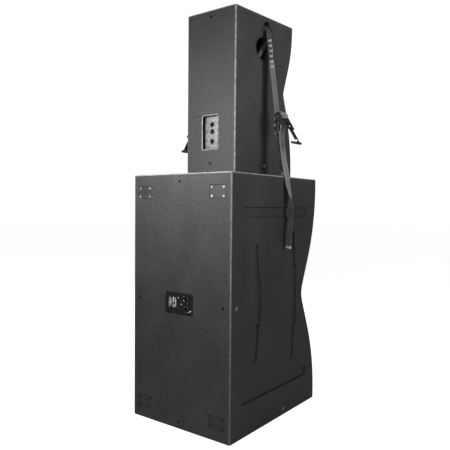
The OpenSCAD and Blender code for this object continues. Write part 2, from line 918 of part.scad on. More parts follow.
// The slotted mandrel, the webbing wound on it, and a toothed wheel at each end.
module spool() {
  strap_frame()
    translate([spool_x, 0, 0]) {
      color([0.7, 0.7, 0.7]) {
        bar_y(0, 0, mandrel_r, 2 * (lever_in + lever_t) + 3);
        at_cheeks(wheel_in, wheel_t) wheel_outline();
        for (m = [-1, 1])
          translate([0, m * (lever_in + lever_t + 1.7), 0]) bar_y(0, 0, 12, 2.4);
      }
      color([0.35, 0.35, 0.36]) bar_y(0, 0, core_r, web_w + 1);
    }
}
module spool_left() spool();
module spool_right() right_copy() spool();

// lever_frame() adds the lever's own turn about the spool. -Z runs along the lever to its tip.
module lever_frame() {
  strap_frame()
    translate([spool_x, 0, 0])
      rotate([0, lever_open, 0]) children();
}

arm_z = -84;
module lever_cheek() {
  difference() {
    union() {
      circle(r = 17);
      polygon([[14, -9], [12, -44], [-2, arm_z - 6], [-14, arm_z - 6], [-15, -8]]);
    }
    circle(r = bore_r);
    translate([0, -50]) square([4.6, 24], center = true);
  }
}

// The flat tongue that carries the grip, made larger all round by grow.
module lever_tongue(grow) {
  box([-15 - grow, -12 - grow, -lever_len + 6 - grow], [-7 + grow, 12 + grow, arm_z]);
}

module lever() {
  color([0.1, 0.1, 0.1])
    lever_frame() {
      at_cheeks(lever_in, lever_t) lever_cheek();
      box([-15, -lever_in - 1, -58], [-12, lever_in + 1, -27]);
      box([-15, -lever_in - 1, arm_z - 6], [-8, lever_in + 1, arm_z + 6]);
      lever_tongue(0);
    }
}
module lever_left() lever();
module lever_right() right_copy() lever();

grip_r = 6.2;
module lever_grip() {
  color([0.07, 0.07, 0.07])
    lever_frame()
      difference() {
        translate([-11, 0, -lever_len + 6])
          rotate([90, 0, 0])
            linear_extrude(46, center = true) {
              circle(r = grip_r);
              rotate(42) translate([14, 0]) square([28, 2 * grip_r - 0.2], center = true);
              rotate(42) translate([28, 0]) circle(r = grip_r);
            }
        lever_tongue(0.1);
      }
}
module lever_grip_left() lever_grip();
module lever_grip_right() right_copy() lever_grip();

module drive_pawl() {
  color([0.75, 0.75, 0.75])
    lever_frame() {
      for (m = [-1, 1])
        box([-2, m > 0 ? 30.4 : -34, -40], [2, m > 0 ? 34 : -30.4, -nose_r]);
      box([-2, -34, -52], [2, 34, -36]);
      box([-2, -39.5, -52], [2, 39.5, -42]);
      box([-2, -12, -74], [2, 12, -52]);
      bar_y(0, -76, 4, 58);
    }
}
module drive_pawl_left() drive_pawl();
module drive_pawl_right() right_copy() drive_pawl();

module lock_pawl() {
  nose = 23.1;
  color([0.75, 0.75, 0.75])
    strap_frame()
      translate([-12, 0, 0]) {
        box([-2, -33.8, -38], [2, 33.8, -34]);
        for (m = [-1, 1])
          box([-2, m > 0 ? 26.5 : -33.8, -38], [2, m > 0 ? 33.8 : -26.5, -nose]);
        box([-2, -20, -58], [2, 20, -37]);
      }
}
module lock_pawl_left() lock_pawl();
module lock_pawl_right() right_copy() lock_pawl();

// The loose end of each strap, as a flat band. Its route, in [x, z], starts under the spool and
// falls past the bass cabinet's top edge.
TAIL = [
  [-305, 1578], [-298, 1560], [-296, 1535], [-292, 1510], [-290, 1487], [-291, 1463],
  [-294, 1436], [-298, 1410], [-302, 1383], [-306, 1357], [-311.5, 1331], [-317.5, 1304],
  [-322.5, 1280], [-327, 1252], [-332, 1225], [-337, 1195], [-341, 1165], [-343, 1130],
  [-343, 1080], [-343, 1030], [-343, 980], [-343, 930], [-343, 900]
];
tail_end = TAIL[len(TAIL) - 1];

// A point of one face of the band beside point i of the route.
function tail_edge(i, side) =
  let (
    a = TAIL[max(i - 1, 0)],
    b = TAIL[min(i + 1, len(TAIL) - 1)],
    d = (b - a) / norm(b - a)
  )
  TAIL[i] + [-d[1], d[0]] * side * web_t / 2;

module strap_tail() {
  last = len(TAIL) - 1;
  color([0.4, 0.4, 0.41])
    translate([0, strap_y, 0])
      rotate([90, 0, 0])
        linear_extrude(web_w, center = true)
          polygon(concat(
            [for (i = [0 : last]) tail_edge(i, 1)],
            [for (i = [last : -1 : 0]) tail_edge(i, -1)]
          ));
}
module strap_tail_left() strap_tail();
module strap_tail_right() right_copy() strap_tail();

module tail_clips() {
  color([0.8, 0.8, 0.8])
    both_sides()
      translate([tail_end[0] - 2, strap_y - web_w / 2 - 1, tail_end[1] - 9])
        cube([4, web_w + 2, 9]);
}

// ---- output ------------------------------------------------------------------------------------
bass_side_left();
bass_side_right();
bass_top();
bass_bottom();
bass_back();
bass_baffle_upper();
bass_baffle_lower();
bass_shelf_brace();
bass_ports();
bass_grille();
woofer_frame_upper();
woofer_frame_lower();
woofer_cone_upper();
woofer_cone_lower();
bass_connector_plate();
caster_plates();
caster_inserts();
mid_side_left();
mid_side_right();
mid_top();
mid_bottom();
mid_back();
mid_baffle();
mid_grille();
mid_driver_frame_upper();
mid_driver_frame_lower();
mid_cone_upper();
mid_cone_lower();
horn_flare();
compression_driver();
mid_connector_dish();
handle_cups();
handle_bars();
driver_magnets();
connector_sockets();
fly_inserts();
grille_screws();
feet();
hanger_bolts();
strap_anchors();
tail_clips();
hook_links();
strap_long_left();
strap_short_left();
strap_tail_left();
ratchet_frame_left();
spool_left();
lever_left();
lever_grip_left();
drive_pawl_left();
lock_pawl_left();
strap_long_right();
strap_short_right();
strap_tail_right();
ratchet_frame_right();
spool_right();
lever_right();
lever_grip_right();
drive_pawl_right();
lock_pawl_right();
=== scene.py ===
import math

import bmesh
import bpy
import numpy as np
from mathutils import Matrix, Vector


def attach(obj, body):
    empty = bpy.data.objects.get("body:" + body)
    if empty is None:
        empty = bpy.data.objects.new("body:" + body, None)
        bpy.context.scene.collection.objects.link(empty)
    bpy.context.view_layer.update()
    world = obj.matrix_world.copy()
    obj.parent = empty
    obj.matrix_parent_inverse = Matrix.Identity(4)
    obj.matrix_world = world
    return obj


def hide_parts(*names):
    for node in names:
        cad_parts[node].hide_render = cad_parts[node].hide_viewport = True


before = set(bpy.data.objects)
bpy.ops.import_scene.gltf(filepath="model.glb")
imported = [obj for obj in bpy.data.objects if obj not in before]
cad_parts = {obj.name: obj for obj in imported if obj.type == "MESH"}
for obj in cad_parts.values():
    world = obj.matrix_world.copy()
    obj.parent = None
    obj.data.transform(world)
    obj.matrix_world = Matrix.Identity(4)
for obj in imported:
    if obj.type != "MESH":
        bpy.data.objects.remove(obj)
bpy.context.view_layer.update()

MM = 0.001

# ---- sizes, in millimetres, the same as in the CAD source ----
BASS_W, BASS_H, PANEL = 635, 1270, 18
BACK_Y, FRONT_Y, FOOT = 407.5, -407.5, 4
MID_BACK_W, MID_FRONT_W, MID_D = 320, 410, 485
MID_FRONT_Y, MID_BACK_Y = -315, 170
MID_BASE, MID_TOP, MID_NOTCH = 1274, 2130, 1740
MID_SPLAY = (MID_FRONT_W - MID_BACK_W) / 2 / MID_D
MID_ANGLE = math.degrees(math.atan(MID_SPLAY))
MID_CY = -72.5
PLATE_Z, DISH_Z, CUP_Z, CUP_Y, DISH_DEPTH = 628, 1497, 1953, 22, 20
BASS_MID, INSERT_R = BASS_H / 2, 7
CASTER_X, CASTER_Z, CASTER_BOLT_X, CASTER_BOLT_Z = 237, 91, 35, 21


def waist_run(e, e0, r, a):
    if e < e0:
        return 0.0
    if e < e0 + r * math.sin(a):
        return r - math.sqrt(r * r - (e - e0) ** 2)
    return r * (1 - math.cos(a)) + (e - e0 - r * math.sin(a)) * math.tan(a)


def waist(e, notch, e0, r, deg, f):
    a, q = math.radians(deg), notch - e
    if q < f * math.sin(a):
        return waist_run(notch, e0, r, a) - f / math.cos(a) + math.sqrt(f * f - q * q)
    return waist_run(e, e0, r, a)


def bass_front(z):
    return FRONT_Y + waist(min(z, BASS_H - z), BASS_H / 2, 55, 1000, 23, 120)


def mid_front(z):
    if z > MID_NOTCH:
        return MID_FRONT_Y + waist(MID_TOP - z, MID_TOP - MID_NOTCH, 20, 750, 17.5, 60)
    return MID_FRONT_Y + waist(z - BASS_H, MID_NOTCH - BASS_H, 35, 1200, 18, 60)


def mid_half(y):
    return MID_BACK_W / 2 + (MID_FRONT_W - MID_BACK_W) / 2 * (MID_BACK_Y - y) / MID_D


def mid_inner(y):
    return mid_half(y) - (PANEL + 0.1) / math.cos(math.radians(MID_ANGLE))


def shift(x=0, y=0, z=0):
    return Matrix.Translation((x, y, z))


def turn(deg, axis):
    return Matrix.Rotation(math.radians(deg), 4, axis)


MIRROR = Matrix.Diagonal((-1, 1, 1, 1))
SIDES = {"left": Matrix.Identity(4), "right": MIRROR}
FLY_TOP = MID_TOP - 44
STRAP_LEAN, SPOOL_X, RATCHET_Z = 7.9, -22, 1585
HOOK_X, HOOK_Z = -mid_half(MID_CY) - 10, FLY_TOP + 9.1
FRAME_BOLT, LINK_DROP, LUG_SLACK, LEVER_OPEN = -84, 48, 2.8, 24
RATCHET_X = HOOK_X - (HOOK_Z - RATCHET_Z) * math.tan(math.radians(STRAP_LEAN))
STRAP_UP = (HOOK_Z - RATCHET_Z) / math.cos(math.radians(STRAP_LEAN))
STRAP_DOWN = (RATCHET_Z - BASS_H - 22) / math.cos(math.radians(STRAP_LEAN))
BAR_TOP, BAR_LOW = STRAP_UP - LINK_DROP, -STRAP_DOWN + LUG_SLACK + LINK_DROP
STRAP = shift(RATCHET_X, MID_CY, RATCHET_Z) @ turn(STRAP_LEAN, "Y")
SPOOL = STRAP @ shift(SPOOL_X)
MID_SIDE = shift(mid_half(MID_CY), MID_CY) @ turn(MID_ANGLE, "Z")
BAFFLE_LEAN = math.degrees(math.atan(165 / 597))
BAFFLE_UP = shift(0, -282.5, 943.5) @ turn(90 + BAFFLE_LEAN, "X")
BAFFLE_LOW = shift(0, 0, BASS_H) @ Matrix.Diagonal((1, 1, -1, 1)) @ BAFFLE_UP


def at_mid(z):
    return shift(0, MID_FRONT_Y + 110, z) @ turn(90, "X")


MID_UP_Z, MID_LOW_Z = MID_TOP - PANEL - 165, MID_BASE + PANEL + 165

# ---- camera ----
cam = bpy.data.objects.new("camera", bpy.data.cameras.new("camera"))
bpy.context.scene.collection.objects.link(cam)
yaw, pitch, roll = math.radians(-53.01), math.radians(-1.853), math.radians(0.476)
ahead = Vector((math.cos(yaw) * math.cos(pitch), math.sin(yaw) * math.cos(pitch), math.sin(pitch)))
cam.matrix_world = (
    Matrix.Translation((-1.7421, 2.3475, 1.1027))
    @ ahead.to_track_quat("-Z", "Y").to_matrix().to_4x4()
    @ Matrix.Rotation(roll, 4, "Z")
)
cam.data.lens, cam.data.sensor_width = 42.37, 36
cam.data.clip_end = 60
bpy.context.scene.camera = cam


# ---- materials ----
class Nodes:
    """A short way to write a node tree."""

    def __init__(self, name):
        self.mat = bpy.data.materials.new(name)
        self.mat.use_nodes = True
        self.tree = self.mat.node_tree
        self.bsdf = self.tree.nodes["Principled BSDF"]
        self.coords = self.add("ShaderNodeTexCoord").outputs

    def add(self, kind, links=(), **values):
        n = self.tree.nodes.new(kind)
        for k, v in values.items():
            if hasattr(n, k):
                setattr(n, k, v)
            else:
                n.inputs[k.replace("_", " ")].default_value = v
        for k, v in dict(links).items():
            self.tree.links.new(v, n.inputs[k])
        return n

    def noise(self, scale, detail=2.0, stretch=None, rough=0.5):
        v = self.coords["Object"]
        if stretch:
            v = self.add("ShaderNodeMapping", {"Vector": v}, Scale=stretch).outputs[0]
        return self.add("ShaderNodeTexNoise", {"Vector": v}, Scale=scale, Detail=detail,
                        Roughness=rough).outputs["Fac"]

    def ramp(self, fac, lo, hi, a=0.0, b=1.0):
        return self.add("ShaderNodeMapRange", {"Value": fac}, From_Min=lo, From_Max=hi,
                        To_Min=a, To_Max=b).outputs[0]

    def math(self, op, a, b):
        n = self.add("ShaderNodeMath", operation=op)
        for i, v in enumerate((a, b)):
            if isinstance(v, (int, float)):
                n.inputs[i].default_value = v
            else:
                self.tree.links.new(v, n.inputs[i])
        return n.outputs[0]

    def times(self, a, b):
        return self.math("MULTIPLY", a, b)

    def plus(self, a, b):
        return self.math("ADD", a, b)

    def minus(self, a, b):
        return self.math("SUBTRACT", a, b)

    def size(self, a):
        return self.math("ABSOLUTE", a, 0)

    def place(self):
        """The X, Y and Z of a point on the piece, in metres."""
        return self.add("ShaderNodeSeparateXYZ", {"Vector": self.coords["Object"]}).outputs[:3]

    def mix(self, fac, a, b):
        n = self.add("ShaderNodeMix", data_type="RGBA")
        for i, v in ((0, fac), (6, a), (7, b)):
            if isinstance(v, (int, float)):
                n.inputs[i].default_value = v
            elif isinstance(v, tuple):
                n.inputs[i].default_value = (*v, 1)
            else:
                self.tree.links.new(v, n.inputs[i])
        return n.outputs[2]

    def bump(self, height, strength, distance):
        return self.add("ShaderNodeBump", {"Height": height}, Strength=strength,
                        Distance=distance).outputs[0]

    def edges(self, radius, sharp=0.16):
        """1 on convex edges and 0 on flats, broken up by noise: edge wear, and on the ratchet steel painted
        glints.
        """
        b = self.add("ShaderNodeBevel", Radius=radius, samples=4).outputs[0]
        g = self.add("ShaderNodeNewGeometry").outputs["Normal"]
        d = self.add("ShaderNodeVectorMath", {0: b, 1: g}, operation="DOT_PRODUCT").outputs["Value"]
        edge = self.ramp(d, 1.0, 1 - sharp)
        return self.math("MULTIPLY", edge, self.ramp(self.noise(90, 3), 0.42, 0.62))

    def done(self, colour, rough, metal=0.0, normal=None, spec=None, sheen=0.0):
        for key, v in (("Base Color", colour), ("Roughness", rough), ("Metallic", metal),
                       ("Normal", normal), ("Specular IOR Level", spec),
                       ("Sheen Weight", sheen)):
            if v is None:
                continue
            if isinstance(v, tuple):
                self.bsdf.inputs[key].default_value = (*v, 1)
            elif isinstance(v, (int, float)):
                self.bsdf.inputs[key].default_value = v
            else:
                self.tree.links.new(v, self.bsdf.inputs[key])
        self.mat.diffuse_color = (*colour, 1) if isinstance(colour, tuple) else (0.1, 0.1, 0.1, 1)
        return self.mat


def grey(v):
    return (v, v, v * 1.02)


def cabinet_paint(name, base=0.022, grain=1.0, spec=0.42, arris=None):
    """Sprayed textured paint: a fine pebble, small pits, scuffs and worn sharp edges, with a painted
    highlight along the back and top edges, lighter towards the top, and painted shade in recesses. arris
    holds the half width at the back, the widening per metre towards the front, the back and the top."""
    n = Nodes(name)
    pebble = n.noise(420, 3, rough=0.62)
    coarse = n.noise(170, 3, rough=0.6)
    broad = n.noise(7, 4, (1, 1, 0.6))
    patch = n.mix(n.ramp(broad, 0.35, 0.68), grey(base * 0.72), grey(base * 1.3))
    speck = n.mix(n.ramp(coarse, 0.42, 0.66, 0, 0.75), patch, grey(base * 2.3))
    dark = n.mix(n.ramp(pebble, 0.42, 0.3, 0, 0.6), speck, grey(base * 0.4))
    scuff = n.ramp(n.noise(26, 6, (1, 1, 5), 0.7), 0.64, 0.74)
    dusty = n.mix(n.times(scuff, 0.35), dark, grey(base * 3.2))
    wear_and_painted_light = n.mix(n.times(n.edges(0.0035), 0.5), dusty, grey(0.12))
    # painted highlight: a lighter band along the back vertical edges and the top edges, brighter towards
    # the top
    if arris:
        half, widen, back, top = arris
        x, y, z = n.place()
        flank = n.minus(n.plus(half, n.times(widen, n.minus(back, y))), n.size(x))
        near = [n.ramp(d, 0.0075, 0.0015) for d in (flank, n.minus(back, y), n.minus(top, z))]
        painted_edge_highlight = n.math("MAXIMUM", n.times(near[0], near[1]),
                     n.times(n.math("MAXIMUM", near[0], near[1]), near[2]))
        painted_edge_highlight = n.times(painted_edge_highlight, n.ramp(n.noise(45, 3), 0.3, 0.6, 0.45, 1.0))
        wear_and_painted_light = n.mix(n.times(painted_edge_highlight, n.ramp(z, 0.2, 1.1, 0.45, 1.0)), wear_and_painted_light, grey(0.4))
    # painted shade: ambient occlusion darkens the paint in pockets, recesses and inside corners
    recess = n.add("ShaderNodeAmbientOcclusion", Distance=0.014, samples=6, only_local=True)
    painted_recess_shade = n.ramp(recess.outputs["AO"], 0.9, 0.62, 0, 0.85)
    wear_and_painted_light = n.mix(painted_recess_shade, wear_and_painted_light, grey(base * 0.12))
    rough = n.ramp(n.plus(n.times(pebble, 0.6), n.times(broad, 0.4)),
                   0.3, 0.7, 0.5, 0.66)
    height = n.plus(n.times(pebble, 0.6), n.times(coarse, 0.7))
    return n.done(wear_and_painted_light, rough, normal=n.bump(height, 0.7 * grain, 0.0018), spec=spec)


def powder_coat(name, base=0.02, rough=0.42, wear=0.25, scale=900, bump=0.25, spec=0.45):
    n = Nodes(name)
    fine, broad = n.noise(scale, 2), n.noise(14, 3)
    colour = n.mix(n.ramp(broad, 0.3, 0.7), grey(base * 0.85), grey(base * 1.25))
    colour = n.mix(n.times(n.edges(0.0012), wear), colour, grey(0.3))
    return n.done(colour, n.ramp(broad, 0.3, 0.7, rough - 0.05, rough + 0.09),
                  normal=n.bump(fine, bump, 0.0004), spec=spec)


def zinc(name, base=0.6, rough=0.3, dark=0.6, brush=(1, 1, 1)):
    """Zinc-plated steel: cloudy spangle, fine drawing lines, darker rubbed places."""
    n = Nodes(name)
    cloud, line = n.noise(60, 4), n.noise(700, 2, brush)
    tint = n.mix(n.ramp(cloud, 0.32, 0.7), (base * dark, base * dark, base * dark * 1.03),
                 (base, base, base * 0.985))
    tint = n.mix(n.times(n.edges(0.0014), 0.7), tint, grey(0.85))
    return n.done(tint, n.ramp(n.plus(cloud, line), 0.7, 1.3, rough - 0.08, rough + 0.16),
                  metal=1.0, normal=n.bump(line, 0.12, 0.0003))


def blacked_zinc(name):
    """Black-plated steel with painted glints: thin light streaks and light edges stand in for highlights.
    """
    n = Nodes(name)
    # painted highlights: light streaks and edges stand in for glints on the black steel
    painted_glint_streaks = n.ramp(n.noise(150, 4, (1, 1, 0.35), 0.7), 0.6, 0.66)
    painted_glints = n.math("MAXIMUM", painted_glint_streaks, n.edges(0.0012))
    return n.done(n.mix(painted_glints, grey(0.002), grey(0.7)), n.ramp(painted_glints, 0, 1, 0.6, 0.4),
                  normal=n.bump(n.noise(500, 2), 0.3, 0.0004), spec=0.1)


def plastic(name, base=0.02, rough=0.45, spec=0.5, scale=1100, bump=0.3):
    n = Nodes(name)
    grain, broad = n.noise(scale, 2), n.noise(30, 2)
    return n.done(n.mix(broad, grey(base * 0.85), grey(base * 1.2)),
                  n.ramp(broad, 0.3, 0.7, rough - 0.04, rough + 0.08),
                  normal=n.bump(grain, bump, 0.0003), spec=spec)


def webbing(name, base, light):
    """Woven tape: warp ribs along it, weft across it, thicker selvedges, a little fuzz.
    The UV map is in metres: u across the tape from its middle, v along it."""
    n = Nodes(name)
    uv = n.add("ShaderNodeSeparateXYZ", {"Vector": n.coords["UV"]}).outputs
    rib = n.math("SINE", n.times(uv[0], 2 * math.pi / 0.0022), 0)
    side = n.math("SIGN", rib, 0)
    slant = n.plus(n.times(uv[1], 2 * math.pi / 0.0026),
                   n.times(side, 1.4))
    pick = n.math("SINE", slant, 0)
    weave = n.times(n.size(rib), n.ramp(pick, -1, 1, 0.45, 1.0))
    across = n.size(uv[0])
    selvedge = n.ramp(across, 0.0215, 0.0232)
    stripe = n.times(n.ramp(n.size(n.minus(across, 0.0135)),
                                       0.0016, 0.0011), 0.55)
    broad, fuzz = n.noise(22, 4), n.noise(900, 2)
    colour = n.mix(n.ramp(weave, 0.1, 0.9), grey(base * 0.45), grey(base))
    colour = n.mix(stripe, colour, grey(light))
    colour = n.mix(n.times(selvedge, 0.4), colour, grey(light))
    colour = n.mix(n.ramp(broad, 0.35, 0.75, 0.0, 0.35), colour, grey(base * 1.7))
    height = n.plus(weave, n.plus(n.times(selvedge, 0.8),
                                         n.times(fuzz, 0.35)))
    return n.done(colour, 0.62, normal=n.bump(height, 0.8, 0.0006), spec=0.35, sheen=0.25)


def paper(name, base):
    n = Nodes(name)
    fibre, broad = n.noise(500, 5, rough=0.7), n.noise(18, 3)
    return n.done(n.mix(n.ramp(fibre, 0.45, 0.7), grey(base * 0.7), grey(base * 1.8)),
                  n.ramp(broad, 0.3, 0.7, 0.6, 0.8), normal=n.bump(fibre, 0.5, 0.0006), spec=0.3)


def rubber(name, base=0.018):
    n = Nodes(name)
    fine, broad = n.noise(700, 3), n.noise(40, 3)
    return n.done(n.mix(broad, grey(base * 0.8), grey(base * 1.5)),
                  n.ramp(broad, 0.3, 0.7, 0.55, 0.8), normal=n.bump(fine, 0.3, 0.0005), spec=0.35)


def print_ink(name, v=0.55):
    n = Nodes(name)
    gaps = n.ramp(n.noise(900, 3), 0.36, 0.44)
    return n.done(n.mix(gaps, grey(v * 0.4), grey(v)), 0.55, spec=0.3)


PAINT = cabinet_paint("cabinet_paint", arris=(BASS_W / 2 * MM, 0.0, BACK_Y * MM, BASS_H * MM))
MID_PAINT = cabinet_paint("mid_cabinet_paint", arris=(
    MID_BACK_W / 2 * MM, MID_SPLAY, MID_BACK_Y * MM, MID_TOP * MM))
BAFFLE = cabinet_paint("baffle_paint", 0.012, 0.5)
GRILLE = powder_coat("grille_steel", 0.018, 0.45, 0.35)
BASKET = powder_coat("basket_metal", 0.025, 0.4, 0.3)
PLATE = powder_coat("plate_metal", 0.006, 0.5, 0.1, 700, 0.3, 0.25)
CASTER = powder_coat("caster_metal", 0.024, 0.5, 0.3, 700, 0.35, 0.4)
# painted shade: the connector dish's recess walls are near black, for the shade inside the recess
RECESS_PAINTED_SHADE = powder_coat("dish_recess_painted_shade", 0.004, 0.5, 0.15, spec=0.2)
BAR = powder_coat("bar_steel", 0.05, 0.45, 0.4)
SILVER = zinc("dish_metal", 0.27, 0.56, 0.35, (1, 30, 1))
ZINC = blacked_zinc("ratchet_zinc")
BRIGHT = zinc("bright_steel", 0.7, 0.25, 0.6)
DARKWIRE = zinc("hook_wire", 0.035, 0.32, 0.6)
SCREW = zinc("screw_steel", 0.06, 0.35, 0.5)
MAGNET = powder_coat("magnet_steel", 0.05, 0.5, 0.5)
LEVERPAINT = powder_coat("lever_paint", 0.004, 0.55, 0.12, spec=0.12)
GRIP = plastic("grip_plastic", 0.02, 0.6, 0.15)
SOCKET = plastic("socket_plastic", 0.008, 0.38)
PORT = plastic("port_plastic", 0.014, 0.5)
HORN = plastic("horn_plastic", 0.014, 0.42)
CONE = paper("cone_paper", 0.02)
SURROUND = rubber("surround_rubber", 0.014)
FOOT_RUBBER = rubber("foot_rubber")
WEB = webbing("webbing", 0.12, 0.26)
# painted shade: the short strap is the same webbing as the long one, made near black for the shade it hangs
# in
SHORT_STRAP_SHADE_WEB = webbing("short_webbing_painted_shade", 0.003, 0.008)
# painted shade: the loose tail's face towards the cabinet, the same webbing made darker
TAIL_FACE_SHADE_WEB = webbing("tail_face_painted_shade", 0.022, 0.045)
# painted light: the loose tail and its top turn are the long strap's webbing made lighter, to lift the
# shade on them
TAIL_LIGHTENED_WEB = webbing("tail_webbing_painted_light", 0.18, 0.38)
SLEEVE = webbing("sleeve_cloth", 0.022, 0.035)
# painted reflection: the metal tail end gets a light matte colour in place of its bright reflection
END_PAINTED_REFLECTION = powder_coat("tail_end_painted_reflection", 0.7, 0.4, 0.1)
LABEL = print_ink("label_cloth", 0.42)
THREAD = print_ink("stitch_thread", 0.16)
INK = print_ink("panel_print", 0.6)
BLACKENED = powder_coat("blackened_steel", 0.006, 0.45, 0.15, spec=0.3)


def far_from(n, y0, z0):
    """Distance in the YZ plane from a point, in metres."""
    _, y, z = n.place()
    square = [n.math("POWER", n.minus(a, b), 2) for a, b in ((y, y0), (z, z0))]
    return n.math("SQRT", n.plus(*square), 0)


def cup_enamel():
    """Black inside the bowl; the lip has the cabinet's own paint."""
    n = Nodes("cup_enamel")
    lip = n.ramp(far_from(n, (MID_CY + CUP_Y) * MM, CUP_Z * MM), 0.0588, 0.06)
    fine, coarse = n.noise(420, 3, rough=0.62), n.noise(170, 3, rough=0.6)
    painted = n.mix(n.ramp(coarse, 0.42, 0.66, 0, 0.75), grey(0.02), grey(0.05))
    return n.done(n.mix(lip, n.mix(coarse, grey(0.003), grey(0.006)), painted),
                  n.ramp(lip, 0, 1, 0.5, 0.58), normal=n.bump(fine, 0.4, 0.001), spec=0.3)


def caster_insert_steel():
    """Plated rings with a bright mouth and a dulled flange, darker towards the bottom."""
    n = Nodes("insert_steel")
    x, _, z = n.place()
    fold = [(x, 0, CASTER_X, CASTER_BOLT_X), (z, BASS_MID, BASS_MID - CASTER_Z, CASTER_BOLT_Z)]
    square = []
    for v, middle, plate_at, hole_at in fold:
        v = n.size(n.minus(v, middle * MM))
        v = n.size(n.minus(v, plate_at * MM))
        square.append(n.math("POWER", n.minus(v, hole_at * MM), 2))
    ring_at = n.math("SQRT", n.plus(*square), 0)
    cloud = n.noise(300, 3)
    bright = n.mix(n.ramp(cloud, 0.3, 0.7), grey(0.62), grey(0.85))
    colour = n.mix(n.ramp(ring_at, 0.0049, 0.0056), bright, grey(0.02))
    colour = n.mix(n.ramp(z, 0.3, 1.0, 0.12, 1.0), (0, 0, 0), colour)
    return n.done(colour, n.ramp(cloud, 0.3, 0.7, 0.45, 0.6), metal=0.6,
                  normal=n.bump(cloud, 0.2, 0.0003))


def fitting_steel():
    """Fly inserts: plated ones in the sides, blackened ones in the back."""
    n = Nodes("fitting_steel")
    x, y, _ = n.place()
    plated = n.times(n.ramp(y, 0.386, 0.38), n.ramp(n.size(x), 0.14, 0.15))
    cloud = n.noise(260, 3)
    black, bright = n.mix(cloud, grey(0.008), grey(0.03)), n.mix(cloud, grey(0.16), grey(0.3))
    return n.done(n.mix(plated, black, bright), n.ramp(cloud, 0.3, 0.7, 0.4, 0.55),
                  normal=n.bump(cloud, 0.2, 0.0003), spec=0.4)


CUP = cup_enamel()
FITTING = fitting_steel()
INSERT = caster_insert_steel()


# ---- mesh tools ----
def join(*parts):
    verts, faces = [], []
    for v, f in parts:
        faces += [[i + len(verts) for i in q] for q in f]
        verts += list(v)
    return verts, faces


def move(part, m):
    v, f = part
    return [tuple(m @ Vector(p)) for p in v], [q[::-1] for q in f] if m.determinant() < 0 else f


def ring(r, z, n):
    return [(r * math.cos(2 * math.pi * i / n), r * math.sin(2 * math.pi * i / n), z)
            for i in range(n)]


def loft(rings, caps=True, loop=False):
    n, m = len(rings[0]), len(rings)
    faces = [[i * n + j, i * n + (j + 1) % n, (i + 1) % m * n + (j + 1) % n, (i + 1) % m * n + j]
             for i in range(m if loop else m - 1) for j in range(n)]
    if caps and not loop:
        faces += [list(range(n))[::-1], [(m - 1) * n + j for j in range(n)]]
    return [p for r in rings for p in r], faces


def lathe(profile, n=64, closed=False):
    return loft([ring(max(r, 0), z, n) for r, z in profile], caps=False, loop=closed)


def rrect(w, h, r, k=6):
    return [(sx * (w / 2 - r) + r * math.cos(a), sy * (h / 2 - r) + r * math.sin(a))
            for sx, sy, q in ((1, 1, 0), (-1, 1, 1), (-1, -1, 2), (1, -1, 3))
            for a in [math.pi / 2 * (q + i / k) for i in range(k + 1)]]


def flat(outline, z):
    return [(x, y, z) for x, y in outline]


def prism(outline, z0, z1):
    return loft([flat(outline, z0), flat(outline, z1)])


def peg(r, z0, z1, n=24):
    return prism([p[:2] for p in ring(r, 0, n)], z0, z1)


def plate(w, h, r, z0, z1, b=1.0, k=6, under=False):
    """A rounded plate in its own XY plane whose upper rim, and lower if under, is rounded by b."""
    steps = [(b * (1 - math.sin(t)), z1 - b * (1 - math.cos(t)))
             for t in [math.pi / 2 * i / 3 for i in range(3, -1, -1)]]
    low = [(i, z0 + z1 - z) for i, z in reversed(steps)] if under else [(0, z0)]
    rows = low + steps
    return loft([flat(rrect(w - 2 * i, h - 2 * i, max(r - i, 0.3), k), z) for i, z in rows])


def drum(r, z0, z1, b=0.8, n=32):
    """A cylinder on Z with its upper rim rounded."""
    return lathe([(0, z0), (r, z0)] + [(r - b * (1 - math.cos(t)), z1 - b * (1 - math.sin(t)))
                                       for t in [math.pi / 2 * i / 3 for i in range(4)]]
                 + [(0, z1)], n)


def link_object(name, part, at=None, uv=None):
    if at is not None:
        part = move(part, at)
    me = bpy.data.meshes.new(name)
    me.from_pydata([tuple(c * MM for c in p) for p in part[0]], [], part[1])
    if uv is not None:
        layer = me.uv_layers.new(name="UVMap")
        for loop in me.loops:
            layer.data[loop.index].uv = uv[loop.vertex_index]
    o = bpy.data.objects.new(name, me)
    bpy.context.scene.collection.objects.link(o)
    return o


def tidy(o, weld=True):
    bm = bmesh.new()
    bm.from_mesh(o.data)
    if weld:
        bmesh.ops.remove_doubles(bm, verts=bm.verts, dist=1e-6)
    bmesh.ops.recalc_face_normals(bm, faces=bm.faces)
    bm.to_mesh(o.data)
    bm.free()


def finish_piece(o, mat, body, angle):
    o.data.materials.clear()
    for m in mat if isinstance(mat, (list, tuple)) else [mat]:
        o.data.materials.append(m)
    if angle:
        o.data.shade_smooth()
        o.data.set_sharp_from_angle(angle=math.radians(angle))
    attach(o, body)
    return o


def piece(name, part, mat, body="root", at=None, angle=35, uv=None, weld=True):
    o = link_object(name, part, at, uv)
    tidy(o, weld)
    return finish_piece(o, mat, body, angle)


def bake(o):
    """Applies a piece's modifiers."""
    deps = bpy.context.evaluated_depsgraph_get()
    me = bpy.data.meshes.new_from_object(o.evaluated_get(deps))
    o.modifiers.clear()
    o.data = me


def cut(o, part):
    c = link_object("cutter", part)
    tidy(c)
    m = o.modifiers.new("cut", "BOOLEAN")
    m.operation, m.solver, m.object = "DIFFERENCE", "EXACT", c
    bake(o)
    bpy.data.objects.remove(c)


def round_edges(o, chosen, width, segments):
    bm = bmesh.new()
    bm.from_mesh(o.data)
    edges = [e for e in bm.edges if chosen(e)]
    bmesh.ops.bevel(bm, geom=edges, offset=width * MM, offset_type="OFFSET", segments=segments,
                    profile=0.5, affect="EDGES", clamp_overlap=False)
    bm.to_mesh(o.data)
    bm.free()


